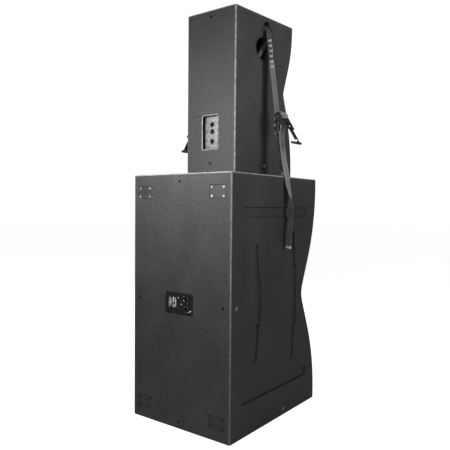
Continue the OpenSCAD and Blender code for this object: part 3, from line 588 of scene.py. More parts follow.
def all_at(e, axis, value):
    return all(abs(v.co[axis] - value * MM) < 1e-5 for v in e.verts)


def soft_shell(o, width=1.5):
    b = o.modifiers.new("bevel", "BEVEL")
    b.width, b.segments, b.limit_method, b.angle_limit = width * MM, 2, "ANGLE", math.radians(50)
    b.use_clamp_overlap = False
    bake(o)
    o.data.shade_smooth()
    o.modifiers.new("normals", "WEIGHTED_NORMAL").keep_sharp = True
    bake(o)


# ---- the loose strap ends, which are this object's only free cords ----
TAIL = [
    (-305, -72.5, 1578, 0), (-298, -72.5, 1560, 0), (-296, -72.5, 1535, 0),
    (-292, -72.5, 1510, 0), (-290, -72.5, 1487, -1), (-291, -72.5, 1463, -1),
    (-294, -72.5, 1436, 0), (-298, -72.5, 1410, 0), (-302, -72.5, 1383, 0),
    (-306, -72.5, 1357, 0), (-311.5, -72.5, 1331, 1), (-317.5, -72.5, 1304, 1),
    (-322.5, -72.5, 1280, 0), (-327, -72.5, 1252, -1), (-332, -72.5, 1225, -5),
    (-338, -73, 1199, -9), (-345, -74, 1173, -14), (-350, -75, 1150, -27),
    (-348.5, -76, 1132, -45), (-345, -76.5, 1110, -59), (-345, -77, 1077, -60),
    (-345, -77, 1040, -58), (-344.5, -74, 1012, -56), (-343.5, -66, 982, -60),
    (-343, -61.6, 947, -60), (-343, -62.3, 905, -57),
]


TAPE_ROW = 9  # points across each face of a tape


def spline(points, per=8):
    p = np.array(points, float)
    ends = np.vstack([2 * p[0] - p[1], p, 2 * p[-1] - p[-2]])
    out = []
    for i in range(1, len(ends) - 2):
        a, b, c, d = ends[i - 1 : i + 3]
        for t in np.arange(per) / per:
            out.append(0.5 * (2 * b + (c - a) * t + (2 * a - 5 * b + 4 * c - d) * t * t
                              + (3 * b - a - 3 * c + d) * t ** 3))
    return np.array(out + [p[-1]])


def ribbon(centre, twist, width=50.0, thick=2.3, closed=False):
    """Tape along a line. Returns the part and its UVs: u across it and v along it, in metres."""
    c = np.array(centre, float)
    d = (np.roll(c, -1, 0) - np.roll(c, 1, 0)) if closed else np.gradient(c, axis=0)
    d /= np.linalg.norm(d, axis=1)[:, None]
    along = np.concatenate([[0], np.cumsum(np.linalg.norm(np.diff(c, axis=0), axis=1))])
    us = np.linspace(-1, 1, TAPE_ROW)
    rings, uv = [], []
    for k, (p, t) in enumerate(zip(c, d, strict=True)):
        wide = np.array((0, 1.0, 0)) - t * t[1]
        wide /= np.linalg.norm(wide)
        thin = np.cross(t, wide)
        a = math.radians(twist[k])
        wide = wide * math.cos(a) + thin * math.sin(a)
        thin = np.cross(t, wide)
        lip = [max(0.35, 1 - abs(u) ** 14 * 0.6) for u in us]
        rows = [(u, s * thick / 2 * q) for s, seq in ((1, us), (-1, us[::-1]))
                for u, q in zip(seq, lip if s > 0 else lip[::-1], strict=True)]
        rings.append([tuple(p + wide * u * width / 2 + thin * h) for u, h in rows])
        uv += [(u * width / 2 * MM, along[k] * MM) for u, _ in rows]
    return loft(rings, loop=closed), uv


def inner_face(o):
    """Gives the tape's face towards the cabinet its second material, a darker copy of the webbing: painted
    shade.
    """
    for p in o.data.polygons:
        p.material_index = int(p.index % (2 * TAPE_ROW) < TAPE_ROW - 1)


def tail_clip():
    """A pressed metal end: two leaves folded over the tape, with two crimp marks."""
    body = plate(52, 13, 1.5, -2.4, 2.4, 0.9, 3, True)
    marks = [move(plate(9, 2.2, 1.0, 0, 0.5, 0.4, 3), m)
             for x in (-14, 0, 14) for m in (shift(x, 0, 2.3), shift(x, 0, -2.3) @ turn(180, "X"))]
    return move(join(body, *marks), turn(90, "Z") @ turn(90, "X"))


for side, flip in SIDES.items():
    line = spline(TAIL)
    part, uv = ribbon(line[:, :3], line[:, 3], thick=2.4)
    tail = piece("tail_" + side, part, [TAIL_LIGHTENED_WEB, TAIL_FACE_SHADE_WEB], at=flip, uv=uv, weld=False)
    inner_face(tail)
    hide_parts("strap_tail_" + side)
    clip = piece("tail_end_" + side, tail_clip(), END_PAINTED_REFLECTION,
                 at=flip @ shift(-343, -62.3, 899.5) @ turn(57, "Z"))
    if side == "left":
        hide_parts("tail_clips")


# ---- bass cabinet ----
def along_x(outline, x0, x1):
    """A prism along X from an outline in (y, z)."""
    return loft([[(x0, y, z) for y, z in outline], [(x1, y, z) for y, z in outline]])


def box(x0, x1, y0, y1, z0, z1):
    return along_x([(y0, z0), (y1, z0), (y1, z1), (y0, z1)], x0, x1)


ARM_LEAN = 5.5  # how far the ends of the side pockets lean, in degrees


def bass_shell():
    zs = np.linspace(FOOT, BASS_H, 97)
    outline = [(bass_front(z), z) for z in zs] + [(BACK_Y, BASS_H), (BACK_Y, FOOT)]
    o = link_object("bass_shell", along_x(outline, -BASS_W / 2, BASS_W / 2))
    tidy(o)
    round_edges(o, lambda e: all_at(e, 1, BACK_Y) and abs(e.verts[0].co.x - e.verts[1].co.x) < 1e-6
                and abs(e.verts[0].co.z - e.verts[1].co.z) > 0.5, 9, 6)
    round_edges(o, lambda e: all_at(e, 2, BASS_H), 4.5, 4)
    round_edges(o, lambda e: all_at(e, 2, FOOT), 3, 2)
    cut(o, box(-299.5, 299.5, -600, BACK_Y - PANEL, FOOT + PANEL, BASS_H - PANEL))
    first, arms = [], []
    for s in (-1, 1):
        def pocket(y, z, w, h, r, k, lean=0.0, s=s):
            m = Matrix(((0, 0, 1, s * 316), (1, 0, 0, y), (0, 1, 0, z), (0, 0, 0, 1)))
            return move(prism(rrect(w, h, r, k), -5.5, 5.5), m @ turn(lean, "Z"))

        for z in (188, BASS_H - 188):
            first.append(pocket(0, z, 624, 52, 14, 6))
        for y, middle, length in ((173, 118, 182), (-178, 164, 194)):
            first.append(pocket(y, BASS_MID, 40, 2 * middle, 6, 3))
            for v in (-1, 1):
                lean = math.radians(ARM_LEAN)
                d = length / 2
                z = BASS_MID + v * (middle - 10 + d * math.cos(lean))
                arms.append(pocket(y + 6 + d * math.sin(lean), z, 24, length, 11, 5, -v * ARM_LEAN))
        for y, z in ((BACK_Y - 45, BASS_MID), (MID_CY, 38)):
            first.append(move(peg(INSERT_R, -30, 30), shift(s * BASS_W / 2, y, z) @ turn(90, "Y")))
    back = shift(0, BACK_Y) @ turn(-90, "X")
    first.append(move(prism(rrect(180.4, 108.4, 8.7, 4), -6, 4), shift(0, 0, PLATE_Z) @ back))
    for x in (-CASTER_X, CASTER_X):
        for z in (CASTER_Z, BASS_H - CASTER_Z):
            first.append(move(prism(rrect(96.4, 64.4, 8.7, 4), -5, 4), shift(x, 0, z) @ back))
    for x, z in ((0, 38), (0, BASS_H - 38), (273, BASS_MID), (-273, BASS_MID)):
        first.append(move(peg(INSERT_R, -30, 30), shift(x, 0, z) @ back))
    cut(o, join(*first))
    cut(o, join(*arms))
    cut(o, move(prism(rrect(154, 82, 5, 3), -40, 4), shift(0, 0, PLATE_Z) @ back))
    soft_shell(o)
    finish_piece(o, PAINT, "root", 0)
    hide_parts("bass_side_left", "bass_side_right", "bass_top", "bass_bottom", "bass_back")


bass_shell()


# ---- mid-high cabinet ----
def mid_shell():
    rings = [[(-mid_half(mid_front(z)), mid_front(z), z), (mid_half(mid_front(z)), mid_front(z), z),
              (MID_BACK_W / 2, MID_BACK_Y, z), (-MID_BACK_W / 2, MID_BACK_Y, z)]
             for z in np.linspace(MID_BASE, MID_TOP, 89)]
    o = link_object("mid_shell", loft(rings))
    bm = bmesh.new()
    bm.from_mesh(o.data)
    bmesh.ops.dissolve_limit(bm, angle_limit=math.radians(0.02), verts=bm.verts, edges=bm.edges)
    bmesh.ops.recalc_face_normals(bm, faces=bm.faces)
    bm.to_mesh(o.data)
    bm.free()
    round_edges(o, lambda e: all_at(e, 1, MID_BACK_Y) and abs(e.verts[0].co.z - e.verts[1].co.z) > 0.004
                and abs(e.verts[0].co.x - e.verts[1].co.x) < 1e-6, 9, 6)
    round_edges(o, lambda e: all_at(e, 2, MID_TOP), 4.5, 4)
    round_edges(o, lambda e: all_at(e, 2, MID_BASE), 3, 2)
    y0, y1 = -500, MID_BACK_Y - PANEL
    inner = [(-mid_inner(y0), y0), (mid_inner(y0), y0), (mid_inner(y1), y1), (-mid_inner(y1), y1)]
    cut(o, prism(inner, MID_BASE + PANEL, MID_TOP - PANEL))
    holes = []
    for flip in SIDES.values():
        side = flip @ MIRROR @ MID_SIDE
        for y, z, r, n in ((CUP_Y, CUP_Z, 62, 72), (0, FLY_TOP, INSERT_R, 24),
                           (0, MID_BASE + 58, INSERT_R, 24)):
            holes.append(move(peg(r, -40, 20, n), side @ shift(0, y, z) @ turn(90, "Y")))
    back = shift(0, MID_BACK_Y) @ turn(-90, "X")
    holes.append(move(prism(rrect(103, 176, 9, 4), -40, 20), shift(0, 0, DISH_Z) @ back))
    for z in (MID_TOP - 34, MID_BASE + 62):
        holes.append(move(peg(INSERT_R, -40, 20), shift(0, 0, z) @ back))
    cut(o, join(*holes))
    lips = [move(peg(68.4, -2, 10, 72),
                 flip @ MIRROR @ MID_SIDE @ shift(0, CUP_Y, CUP_Z) @ turn(90, "Y"))
            for flip in SIDES.values()]
    cut(o, join(*lips))
    soft_shell(o)
    finish_piece(o, MID_PAINT, "root", 0)
    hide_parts("mid_side_left", "mid_side_right", "mid_top", "mid_bottom", "mid_back")


mid_shell()


# ---- grilles ----
def grille(name, node, half, z0, z1, front, pitch=12.0, hole=5.3, border=11.0):
    zs = np.linspace(z0, z1, 400)
    ys = np.array([front(z) + 6 for z in zs])
    along = np.concatenate([[0], np.cumsum(np.hypot(np.diff(zs), np.diff(ys)))])

    def on(x, s):
        return (x, float(np.interp(s, along, ys)), float(np.interp(s, along, zs)))

    r, step = pitch / math.sqrt(3), pitch * math.sqrt(3) / 2
    rows = int((along[-1] - 2 * border + 6) / step)
    cols = int((2 * half - 2 * border + 6) / pitch)
    s0, index, verts, faces = (along[-1] - (rows - 1) * step) / 2, {}, [], []

    def vert(x, s):
        key = (round(x, 2), round(s, 2))
        if key not in index:
            index[key] = len(verts)
            verts.append(on(x, s))
        return index[key]

    for j in range(rows):
        for i in range(cols - j % 2):
            cx = (i - (cols - 1 - j % 2) / 2) * pitch
            cs = s0 + j * step
            out = [vert(cx + r * math.sin(math.pi / 3 * k), cs + r * math.cos(math.pi / 3 * k))
                   for k in range(6)]
            inn = len(verts)
            verts += [on(cx + hole * math.sin(math.pi / 3 * k), cs + hole * math.cos(math.pi / 3 * k))
                      for k in range(6)]
            faces += [[out[k], out[(k + 1) % 6], inn + (k + 1) % 6, inn + k] for k in range(6)]
    sheet = link_object(name, (verts, faces))
    solid = sheet.modifiers.new("thick", "SOLIDIFY")
    solid.thickness, solid.offset = 1.5 * MM, 0
    finish_piece(sheet, GRILLE, "root", 0)
    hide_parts(node)
    rim = []
    levels = np.linspace(0, along[-1], 90)
    for sgn in (-1, 1):
        rim.append(loft([[tuple(np.add(on(sgn * x, s), (0, dy, 0)))
                          for x, dy in ((half, -1), (half, 8), (half - 1.6, 8), (half - 1.6, 1),
                                        (half - border, 1), (half - border, -1))] for s in levels]))
    for lo, hi in ((0, border), (along[-1] - border, along[-1])):
        rim.append(loft([[tuple(np.add(on(x, s), (0, dy, 0))) for s, dy in
                          ((lo, -1), (hi, -1), (hi, 1), (lo, 1))] for x in (-half + 1, half - 1)]))
    piece(name + "_rim", join(*rim), GRILLE)


grille("bass_grille_sheet", "bass_grille", 297.5, 24, 1250, bass_front)
grille("mid_grille_sheet", "mid_grille", 176.6, 1294, 2110, mid_front)


# ---- drivers ----
def driver(name, at, body, r, cut_r, depth, motor, cone_r, coil, nodes, frame_node):
    roll = (cut_r - cone_r * 0.83) / 2
    edge = cone_r - 2 * roll * 0.86
    profile = [(cone_r, 2), (cone_r, 3.4), (cone_r - 4, 3.8)]
    profile += [(edge + (cone_r - 4 - edge) * (1 + math.cos(t)) / 2, 3.8 + roll * 0.72 * math.sin(t))
                for t in [math.pi * i / 10 for i in range(1, 11)]]
    surround = profile + [(edge - 4, 3), (edge - 4, 2), (cone_r, 2)]
    piece(name + "_surround", lathe(surround[:-1], 96, True), SURROUND, body, at, 50)
    depth_at = -depth * 0.74
    cone = [(edge - 3 + (coil + 2 - edge) * t, 2.6 + (depth_at - 2.6) * (t ** 0.86)
             + (0.9 * math.sin(t * 9 * math.pi) if 0.15 < t < 0.8 else 0))
            for t in np.linspace(0, 1, 40)]
    under = [(x, z - 1.6) for x, z in cone[::-1]]
    o = piece(name + "_cone", lathe(cone + under, 96, True), CONE, body, at, 60)
    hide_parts(nodes)
    cap = [(coil * 1.28 * math.sin(t), depth_at + 7 + coil * 0.62 * (math.cos(t) - 0.2))
           for t in [math.pi / 2 * i / 10 for i in range(11)]]
    piece(name + "_cap", lathe(cap + [(coil * 1.28, depth_at + 2)], 64), CONE,
          body, at, 60)
    former = [(coil + 0.6, depth_at + 4), (coil + 0.6, -depth - 20), (coil - 1, -depth - 20),
              (coil - 1, depth_at + 4)]
    piece(name + "_coil", lathe(former, 64, True), BRIGHT, body, at)
    rim = [(cut_r - 14, 0.2), (r, 0.2), (r, 6.5), (r - 1.5, 8.5), (r - 5, 9.6), (cut_r - 8, 9.6),
           (cut_r - 10, 11.2), (cut_r - 13, 11.2), (cut_r - 14, 10)]
    parts = [lathe(rim, 96, True)]
    for k in range(6):
        w = math.pi / 3 * k
        spoke = [(cut_r - 3, 0, 20, 5), (cut_r * 0.75 + motor * 0.25, -depth * 0.42, 17, 6),
                 (motor + 7, -depth * 0.96, 15, 7)]
        rings = [[(a - t / 2, -b / 2, z), (a + t / 2, -b / 2, z), (a + t / 2, b / 2, z),
                  (a - t / 2, b / 2, z)] for a, z, b, t in spoke]
        parts.append(move(loft(rings), turn(math.degrees(w) + 15, "Z")))
    parts.append(lathe([(motor + 10, -depth * 0.93), (motor + 10, -depth - 6), (motor * 0.55, -depth - 6),
                        (motor * 0.55, -depth), (motor - 2, -depth + 1), (motor + 4, -depth * 0.93)],
                       64, True))
    o = piece(name + "_basket", join(*parts), BASKET, "root", at)
    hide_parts(frame_node)
    bolts = [move(join(drum(4.5, 9.4, 12.5, 0.8, 20), peg(7, 9.2, 9.9)),
                  shift((r + cut_r) / 2 * math.cos(w), (r + cut_r) / 2 * math.sin(w)))
             for w in [math.pi / 4 * (k + 0.5) for k in range(8)]]
    piece(name + "_bolts", join(*bolts), SCREW, "root", at)


for where, at in (("upper", BAFFLE_UP), ("lower", BAFFLE_LOW)):
    driver("woofer_" + where, at, "woofer_" + where, 230, 206, 112, 105, 188, 50,
           "woofer_cone_" + where, "woofer_frame_" + where)
for where, z in (("upper", MID_UP_Z), ("lower", MID_LOW_Z)):
    driver("mid_" + where, at_mid(z), "mid_" + where, 157, 141, 78, 78, 124, 37,
           "mid_cone_" + where, "mid_driver_frame_" + where)


def horn():
    n = 64

    def mouth(w, h, z, power):
        out = []
        for i in range(n):
            a = 2 * math.pi * i / n
            c, s = math.cos(a), math.sin(a)
            out.append((w / 2 * math.copysign(abs(c) ** (2 / power), c),
                        h / 2 * math.copysign(abs(s) ** (2 / power), s), z))
        return out

    inner = [mouth(38 + 230 * t ** 1.5, 38 + 98 * t ** 1.9, -96 + 98 * t, 2 + 7 * t)
             for t in np.linspace(0, 1, 18)]
    lip = [mouth(276, 144, 4, 10), mouth(299, 167, 4.2, 30), mouth(300, 168, 3, 30),
           mouth(300, 168, 0.3, 30), mouth(279, 147, 0.3, 12)]
    outer = [mouth(48 + 228 * t ** 1.4, 48 + 96 * t ** 1.8, -96 + 94 * t, 2 + 7 * t)
             for t in np.linspace(1, 0, 14)]
    o = piece("horn_flare_moulding", loft(inner + lip + outer, loop=True), HORN,
              at=at_mid((MID_UP_Z + MID_LOW_Z) / 2), angle=40)
    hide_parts("horn_flare")


horn()


# ---- panels with connectors ----
def socket():
    """A panel socket: square flange with a raised collar, and a keyed core in the barrel."""
    flange = plate(26, 31, 3, 0, 2.0, 0.6)
    collar = lathe([(13.8, -22), (13.8, 2.2), (12.9, 3.0), (12.2, 2.6), (12.0, -15.8), (0, -15.8)], 40)
    core = lathe([(0, -15.6), (5.2, -15.6), (5.2, -1.2), (4.2, -0.4), (3.4, -0.6), (3.2, -9), (0, -9)], 28)
    keys = [move(box(5, 12, -1.1, 1.1, -15.5, -5), turn(a, "Z")) for a in (0, 120, 240)]
    corners = screws([(x, y, 2.0) for x, y in ((-9.8, 12.2), (9.8, -12.2))], 2.4, 1.2)
    return flange, collar, join(core, drum(11.8, -15.7, -15.1, 0.2, 36), *keys), corners


SOCKET_AT = {
    "bass": [shift(-48, BACK_Y - 2, PLATE_Z + dz) @ turn(-90, "X") for dz in (24, -24)],
    "mid": [shift(0, MID_BACK_Y - DISH_DEPTH + 2, DISH_Z + dz) @ turn(-90, "X")
            for dz in (43, 6, -45)],
}


def socket_bores(where, r):
    return join(*[move(peg(r, -30, 9, 40), m) for m in SOCKET_AT[where]])


def drilled(name, part, bores, mat, at=None):
    o = link_object(name, part, at)
    tidy(o)
    cut(o, bores)
    return finish_piece(o, mat, "root", 35)


def screws(places, r=3.0, h=1.4):
    head = lathe([(0, h * 0.45), (r * 0.42, h * 0.45), (r * 0.52, h), (r * 0.86, h),
                  (r, h * 0.55), (r, -1)], 20)
    return join(*[move(head, shift(*at)) for at in places])


back_bass = shift(0, BACK_Y - 2, PLATE_Z) @ turn(-90, "X")
BACKFLIP = Matrix.Diagonal((1, -1, 1, 1))
o = drilled("bass_plate", plate(178, 106, 7.5, -3, 0, 0.9), socket_bores("bass", 13.2), PLATE,
            back_bass)
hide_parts("bass_connector_plate")
piece("bass_plate_screws", screws([(x, y, 0) for x in (-81, 0, 81) for y in (-46, 46)]), SCREW,
      at=back_bass)
bars = []
for x, y0, y1, w in ((67, -24, 26, 1.8), (61, -12, 30, 1.8), (56, -18, 24, 1.8), (51, -6, 22, 1.6),
                     (40, 2, 30, 3.2), (35, 4, 30, 3.2), (40, -22, -4, 3.2), (34, -20, -3, 3.0),
                     (25, -20, 26, 2.4), (21, -18, 20, 1.6), (8, 28, 31, 9), (-14, -4, -1, 7),
                     (-72, -31, -28, 12), (-66, -36, -33.5, 10), (-30, 18, 21, 6)):
    bars.append(move(plate(w, abs(y1 - y0), 0.4, 0, 0.15, 0.1, 2), shift(x, (y0 + y1) / 2, 0)))
piece("bass_plate_print", join(*bars), INK, at=back_bass @ BACKFLIP)
for name, flange_mat, collar_mat in (("bass", SOCKET, SOCKET), ("mid", SILVER, SILVER)):
    parts = [socket() for _ in SOCKET_AT[name]]
    moved = [join(*[move(p[k], m) for p, m in zip(parts, SOCKET_AT[name], strict=True)])
             for k in range(4)]
    o = drilled(name + "_socket_flanges", moved[0], socket_bores(name, 12.6), flange_mat)
    if name == "bass":
        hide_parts("connector_sockets")
    piece(name + "_socket_collars", moved[1], collar_mat)
    piece(name + "_socket_cores", moved[2], SOCKET)
    piece(name + "_socket_screws", moved[3], BRIGHT)


def dish():
    at = shift(0, MID_BACK_Y, DISH_Z) @ turn(-90, "X")
    low = 2 - DISH_DEPTH
    rows = [(102, 175, 8.5, low), (102, 175, 8.5, 0.2), (111.5, 184.5, 12.4, 0.1),
            (113, 186, 13, 0.7), (112.6, 185.6, 12.9, 1.7), (111.2, 184.2, 12.2, 2.3),
            (102, 175, 8.6, 2.3), (100, 173, 7.8, 1.6), (99, 172, 7.3, -0.4)]
    flange = loft([flat(rrect(w, h, r, 8), z) for w, h, r, z in rows], caps=False)
    piece("dish_flange", flange, SILVER, at=at)
    # painted shade: the recess walls take the near-black material
    walls = loft([flat(rrect(w, h, r, 8), z) for w, h, r, z in
                  ((98.8, 171.8, 7.2, -0.3), (98, 171, 7, -3), (97, 170, 7, low + 1.5), (95, 168, 6, low))],
                 caps=False)
    piece("dish_walls", walls, RECESS_PAINTED_SHADE, at=at)
    o = drilled("dish_floor", plate(97, 170, 6, low - 2, low + 0.2, 0.5), socket_bores("mid", 13.2),
                SILVER, at)
    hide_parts("mid_connector_dish")
    piece("dish_screws", screws([(x, y, low + 0.1) for x in (-41, 41) for y in (-77, 77)], 3.2), SCREW,
          at=at)
    marks = [move(plate(w, 2.2, 0.5, 0, 0.15, 0.1, 2), shift(x, y, low + 0.2))
             for x, y, w in ((-28, -66, 24), (-30, -38, 16), (-30, -4, 16), (0, -27, 26), (-30, 30, 16),
                             (0, 70, 40), (0, 66, 26), (28, -4, 10))]
    piece("dish_print", join(*marks), SCREW, at=at)


dish()


# ---- straps and ratchets ----
def stitches(lines, every=4.6, length=3.1, wide=0.75, proud=0.55):
    """Short raised threads along lines given as ((y0, z0), (y1, z1)) on the plane x = 0."""
    out = []
    for (y0, z0), (y1, z1) in lines:
        far = math.hypot(y1 - y0, z1 - z0)
        lean = math.degrees(math.atan2(z1 - z0, y1 - y0))
        for k in range(int(far / every)):
            t = (k + 0.5) * every / far
            m = (shift(0, y0 + (y1 - y0) * t, z0 + (z1 - z0) * t) @ turn(90, "Y") @ turn(90, "Z")
                 @ turn(lean, "Z"))
            out.append(move(plate(length, wide, 0.3, -0.4, proud, 0.3, 1), m))
    return join(*out)


def box_stitch(z0, z1, half=20.5):
    return [((-half, z0), (half, z0)), ((-half, z1), (half, z1)), ((-half, z0), (-half, z1)),
            ((half, z0), (half, z1)), ((-half, z0), (half, z1)), ((-half, z1), (half, z0)),
            ((-half + 4, z0), (-half + 4, z1)), ((half - 4, z0), (half - 4, z1))]


def bend(centre, r, a0, a1, n=14):
    return [(centre[0] + r * math.cos(math.radians(a)), centre[1] + r * math.sin(math.radians(a)))
            for a in np.linspace(a0, a1, n)]


def long_path():
    """From under the wound webbing, up the side of the spool, round the link's bar and back."""
    top = BAR_TOP
    wrap = [(SPOOL_X + r * math.cos(math.radians(a)), r * math.sin(math.radians(a)))
            for a, r in zip(np.linspace(-128, 0, 26), np.linspace(20.6, 22.0, 26), strict=True)]
    up = [(0, z) for z in np.linspace(6, top - 150, 40)]
    split = [(1.3 * t, top - 150 + 30 * t) for t in (0.33, 0.66, 1)]
    ply = [(1.3, z) for z in np.linspace(top - 112, top - 16, 12)]
    loop = [(2.3, top - 11), (3.5, top - 6)] + bend((0, top), 4.5, -20, 200) + [
        (-3.5, top - 6), (-2.3, top - 11)]
    down = [(-1.3, z) for z in np.linspace(top - 16, top - 128, 14)]
    return wrap + up + split + ply + loop + down


def short_path():
    low, high = BAR_LOW, FRAME_BOLT
    left = [(-1.35, z) for z in np.linspace(low + 17, high - 18, 14)]
    right = [(1.35, z) for z in np.linspace(high - 18, low + 17, 14)]
    return (left + [(-3, high - 12), (-5.2, high - 6)] + bend((0, high), 6.5, 200, -20)
            + [(5.2, high - 6), (3, high - 12)] + right
            + [(2.4, low + 11), (3.5, low + 6)] + bend((0, low), 4.5, 20, -200)
            + [(-3.5, low + 6), (-2.4, low + 11)])


def coil_path():
    """The wound roll, from its outside in."""
    n, turns, outer, inner, start = 150, 3.8, 18.2, 10.4, 0.6
    return [(r * math.cos(w), r * math.sin(w)) for w, r in
            zip(np.linspace(start, start - 2 * math.pi * turns, n), np.linspace(outer, inner, n),
                strict=True)]


def over_path():
    """The loose end's own top turn: from where it leaves, over the coil and under the other."""
    return [(r * math.cos(math.radians(a)), r * math.sin(math.radians(a)))
            for a, r in zip(np.linspace(214.7, 12, 40), np.linspace(22.2, 21.4, 40), strict=True)]


def tape(path, **kw):
    line = [(x, 0, z) for x, z in path]
    return ribbon(line, [0] * len(line), **kw)


def wheel():
    """A toothed wheel with raked teeth and a hub, in XY from z = 0 to 3.6."""
    teeth = []
    for i in range(12):
        a = math.radians(30 * i)
        for da, r in ((0, 24.0), (2.2, 23.4), (4.2, 18.7), (12, 19.4), (21, 21.4), (27.5, 23.3)):
            teeth.append((r * math.cos(a + math.radians(da)), r * math.sin(a + math.radians(da))))
    body = loft([flat([(x * k, y * k) for x, y in teeth], z)
                 for k, z in ((0.985, 0), (1, 0.4), (1, 3.2), (0.985, 3.6))])
    return join(body, lathe([(9, 3.5), (13, 3.5), (13, 4.4), (12.2, 5.0), (9, 5.0)], 32))


def mandrel():
    """Two half-round bars with a slot between them for the webbing."""
    halves = []
    for k in (0, 180):
        outline = [(9 * math.cos(a), max(9 * math.sin(a), 1.6))
                   for a in [math.pi * i / 16 for i in range(17)]]
        halves.append(move(prism(outline, -39, 39), turn(k, "Z")))
    ends = [move(lathe([(0, 0), (11.6, 0), (12, 0.5), (12, 1.9), (11.2, 2.4), (0, 2.4)], 32), m)
            for m in (shift(0, 0, 37.6), shift(0, 0, -37.6) @ turn(180, "X"))]
    return join(*halves, *ends)


SLEEVE_END = 1884  # the height that the dark sleeve reaches down to

for side, flip in SIDES.items():
    part, uv = tape(long_path())
    o = piece("long_strap_" + side, part, [WEB, SLEEVE], at=flip @ STRAP, uv=uv,
              weld=False)
    for p in o.data.polygons:
        p.material_index = int(p.center.z > SLEEVE_END * MM)
    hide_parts("strap_long_" + side)
    part, uv = tape(short_path(), closed=True)
    o = piece("short_strap_" + side, part, SHORT_STRAP_SHADE_WEB, at=flip @ STRAP, uv=uv, weld=False)
    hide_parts("strap_short_" + side)
    top, low = BAR_TOP, BAR_LOW
    sewn = stitches(box_stitch(top - 126, top - 84) + box_stitch(top - 78, top - 18))
    lower = stitches(box_stitch(low + 18, low + 58) + box_stitch(-149, -106))
    for tag, m in (("out", turn(180, "Z")), ("in", Matrix.Identity(4))):
        x = -2.45 if tag == "out" else 2.45
        both = join(move(sewn, shift(x) @ m), move(lower, shift(x) @ m))
        piece(f"stitching_{tag}_{side}", both, THREAD, at=flip @ STRAP)
    marks = []
    for k in range(6):
        z = top - 50 - 28 * k
        face = -2.4 if k < 3 else 1.3 * max(0.0, (z - top + 150) / 30) - 1.12
        for y, dz, w, h, lean in ((-6, 0, 24, 10, 30), (13, -6, 13, 7, 30), (-15, -9, 9, 5, -20)):
            marks.append(move(plate(w, h, 1, 0, 0.35, 0.2, 2),
                              shift(face, y, z + dz) @ turn(-90, "Y") @ turn(90 + lean, "Z")))
    piece("sleeve_marks_" + side, join(*marks), LABEL, at=flip @ STRAP)
    part, uv = tape(coil_path(), thick=2.0)
    o = piece("wound_webbing_" + side, part, WEB, "spool_" + side, at=flip @ SPOOL, uv=uv,
              weld=False)
    part, uv = tape(over_path(), thick=2.2)
    piece("top_turn_" + side, part, TAIL_LIGHTENED_WEB, at=flip @ SPOOL, uv=uv, weld=False)
    across = turn(90, "X")
    wheels = join(move(wheel(), shift(0, -30.2, 0) @ across),
                  move(wheel(), shift(0, 30.2, 0) @ BACKFLIP @ across),
                  move(mandrel(), across))
    o = piece("spool_wheels_" + side, wheels, ZINC, "spool_" + side, at=flip @ SPOOL)
    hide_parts("spool_" + side)
    ferrule = move(plate(25.4, 9.4, 1.2, -4, 4, 0.8, 3, True), shift(-11, 0, -167) @ turn(90, "Z"))
    piece("lever_ferrule_" + side, ferrule, BRIGHT, "lever_" + side,
          at=flip @ SPOOL @ turn(LEVER_OPEN, "Y"))


# ---- CAD pieces that keep their shape ----
KEPT = {
    BAFFLE: ["bass_baffle_upper", "bass_baffle_lower", "bass_shelf_brace", "mid_baffle"],
    PORT: ["bass_ports"],
    MAGNET: ["driver_magnets", "compression_driver"],
    CASTER: ["caster_plates"],
    INSERT: ["caster_inserts"],
    FITTING: ["fly_inserts"],
    BLACKENED: ["hanger_bolts", "strap_anchors"],
    CUP: ["handle_cups"],
    BAR: ["handle_bars"],
    SCREW: ["grille_screws"],
    FOOT_RUBBER: ["feet"],
    DARKWIRE: ["hook_links"],
    ZINC: ["ratchet_frame_left", "ratchet_frame_right", "drive_pawl_left", "drive_pawl_right",
           "lock_pawl_left", "lock_pawl_right"],
    LEVERPAINT: ["lever_left", "lever_right"],
    GRIP: ["lever_grip_left", "lever_grip_right"],
}
for mat, names in KEPT.items():
    for n in names:
        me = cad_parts[n].data
        me.materials.clear()
        me.materials.append(mat)
        me.shade_smooth()
        me.set_sharp_from_angle(angle=math.radians(32))


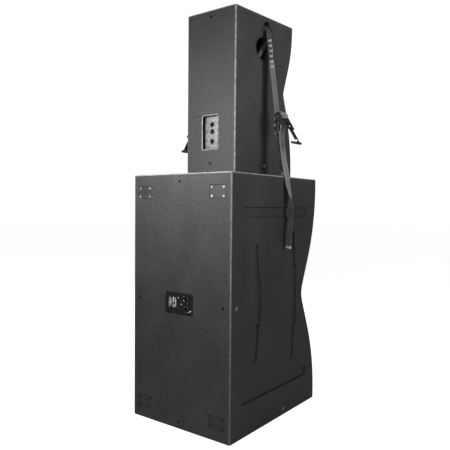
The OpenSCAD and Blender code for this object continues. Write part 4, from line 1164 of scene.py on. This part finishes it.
# ---- floor and light ----
def floor():
    me = bpy.data.meshes.new("floor")
    me.from_pydata([(-30, -30, 0), (30, -30, 0), (30, 30, 0), (-30, 30, 0)], [], [[0, 1, 2, 3]])
    o = bpy.data.objects.new("floor", me)
    bpy.context.scene.collection.objects.link(o)
    n = Nodes("floor_paper")
    n.done(n.mix(n.noise(3, 2), (0.86, 0.86, 0.86), (0.9, 0.9, 0.9)), 0.9, spec=0.0)
    seen = n.add("ShaderNodeLightPath").outputs["Is Camera Ray"]
    n.tree.links.new(n.times(seen, 0.9), n.bsdf.inputs["Emission Strength"])
    n.bsdf.inputs["Emission Color"].default_value = (1, 1, 1, 1)
    o.data.materials.append(n.mat)


floor()
world = bpy.data.worlds.new("studio")
bpy.context.scene.world = world
world.use_nodes = True
wt = world.node_tree
bg = wt.nodes["Background"]
seen = wt.nodes.new("ShaderNodeLightPath")
level = wt.nodes.new("ShaderNodeMapRange")
wt.links.new(seen.outputs["Is Camera Ray"], level.inputs["Value"])
level.inputs["To Min"].default_value, level.inputs["To Max"].default_value = 0.1, 1.05
wt.links.new(level.outputs[0], bg.inputs["Strength"])
bg.inputs["Color"].default_value = (1, 1, 1, 1)


def lamp(name, place, aim, size, watts, spread=180):
    d = bpy.data.lights.new(name, "AREA")
    d.shape, d.size, d.size_y, d.energy = "RECTANGLE", size[0], size[1], watts
    d.spread = math.radians(spread)
    o = bpy.data.objects.new(name, d)
    bpy.context.scene.collection.objects.link(o)
    o.location = place
    o.rotation_euler = (Vector(aim) - Vector(place)).to_track_quat("-Z", "Y").to_euler()


lamp("key_soft", (0.25, 1.4, 1.65), (0, 0.4, 1.38), (0.6, 0.6), 12, 115)
lamp("side_soft", (-2.3, -0.07, 2.0), (-0.2, -0.07, 2.0), (0.9, 1.2), 13, 105)
lamp("front_soft", (1.2, -4.2, 2.6), (0, 0, 1.2), (2.4, 2.4), 60)
lamp("behind_soft", (-1.6, 3.8, 2.2), (-0.1, 0.4, 0.7), (0.8, 0.8), 62)
bpy.context.scene.view_settings.view_transform = "Standard"
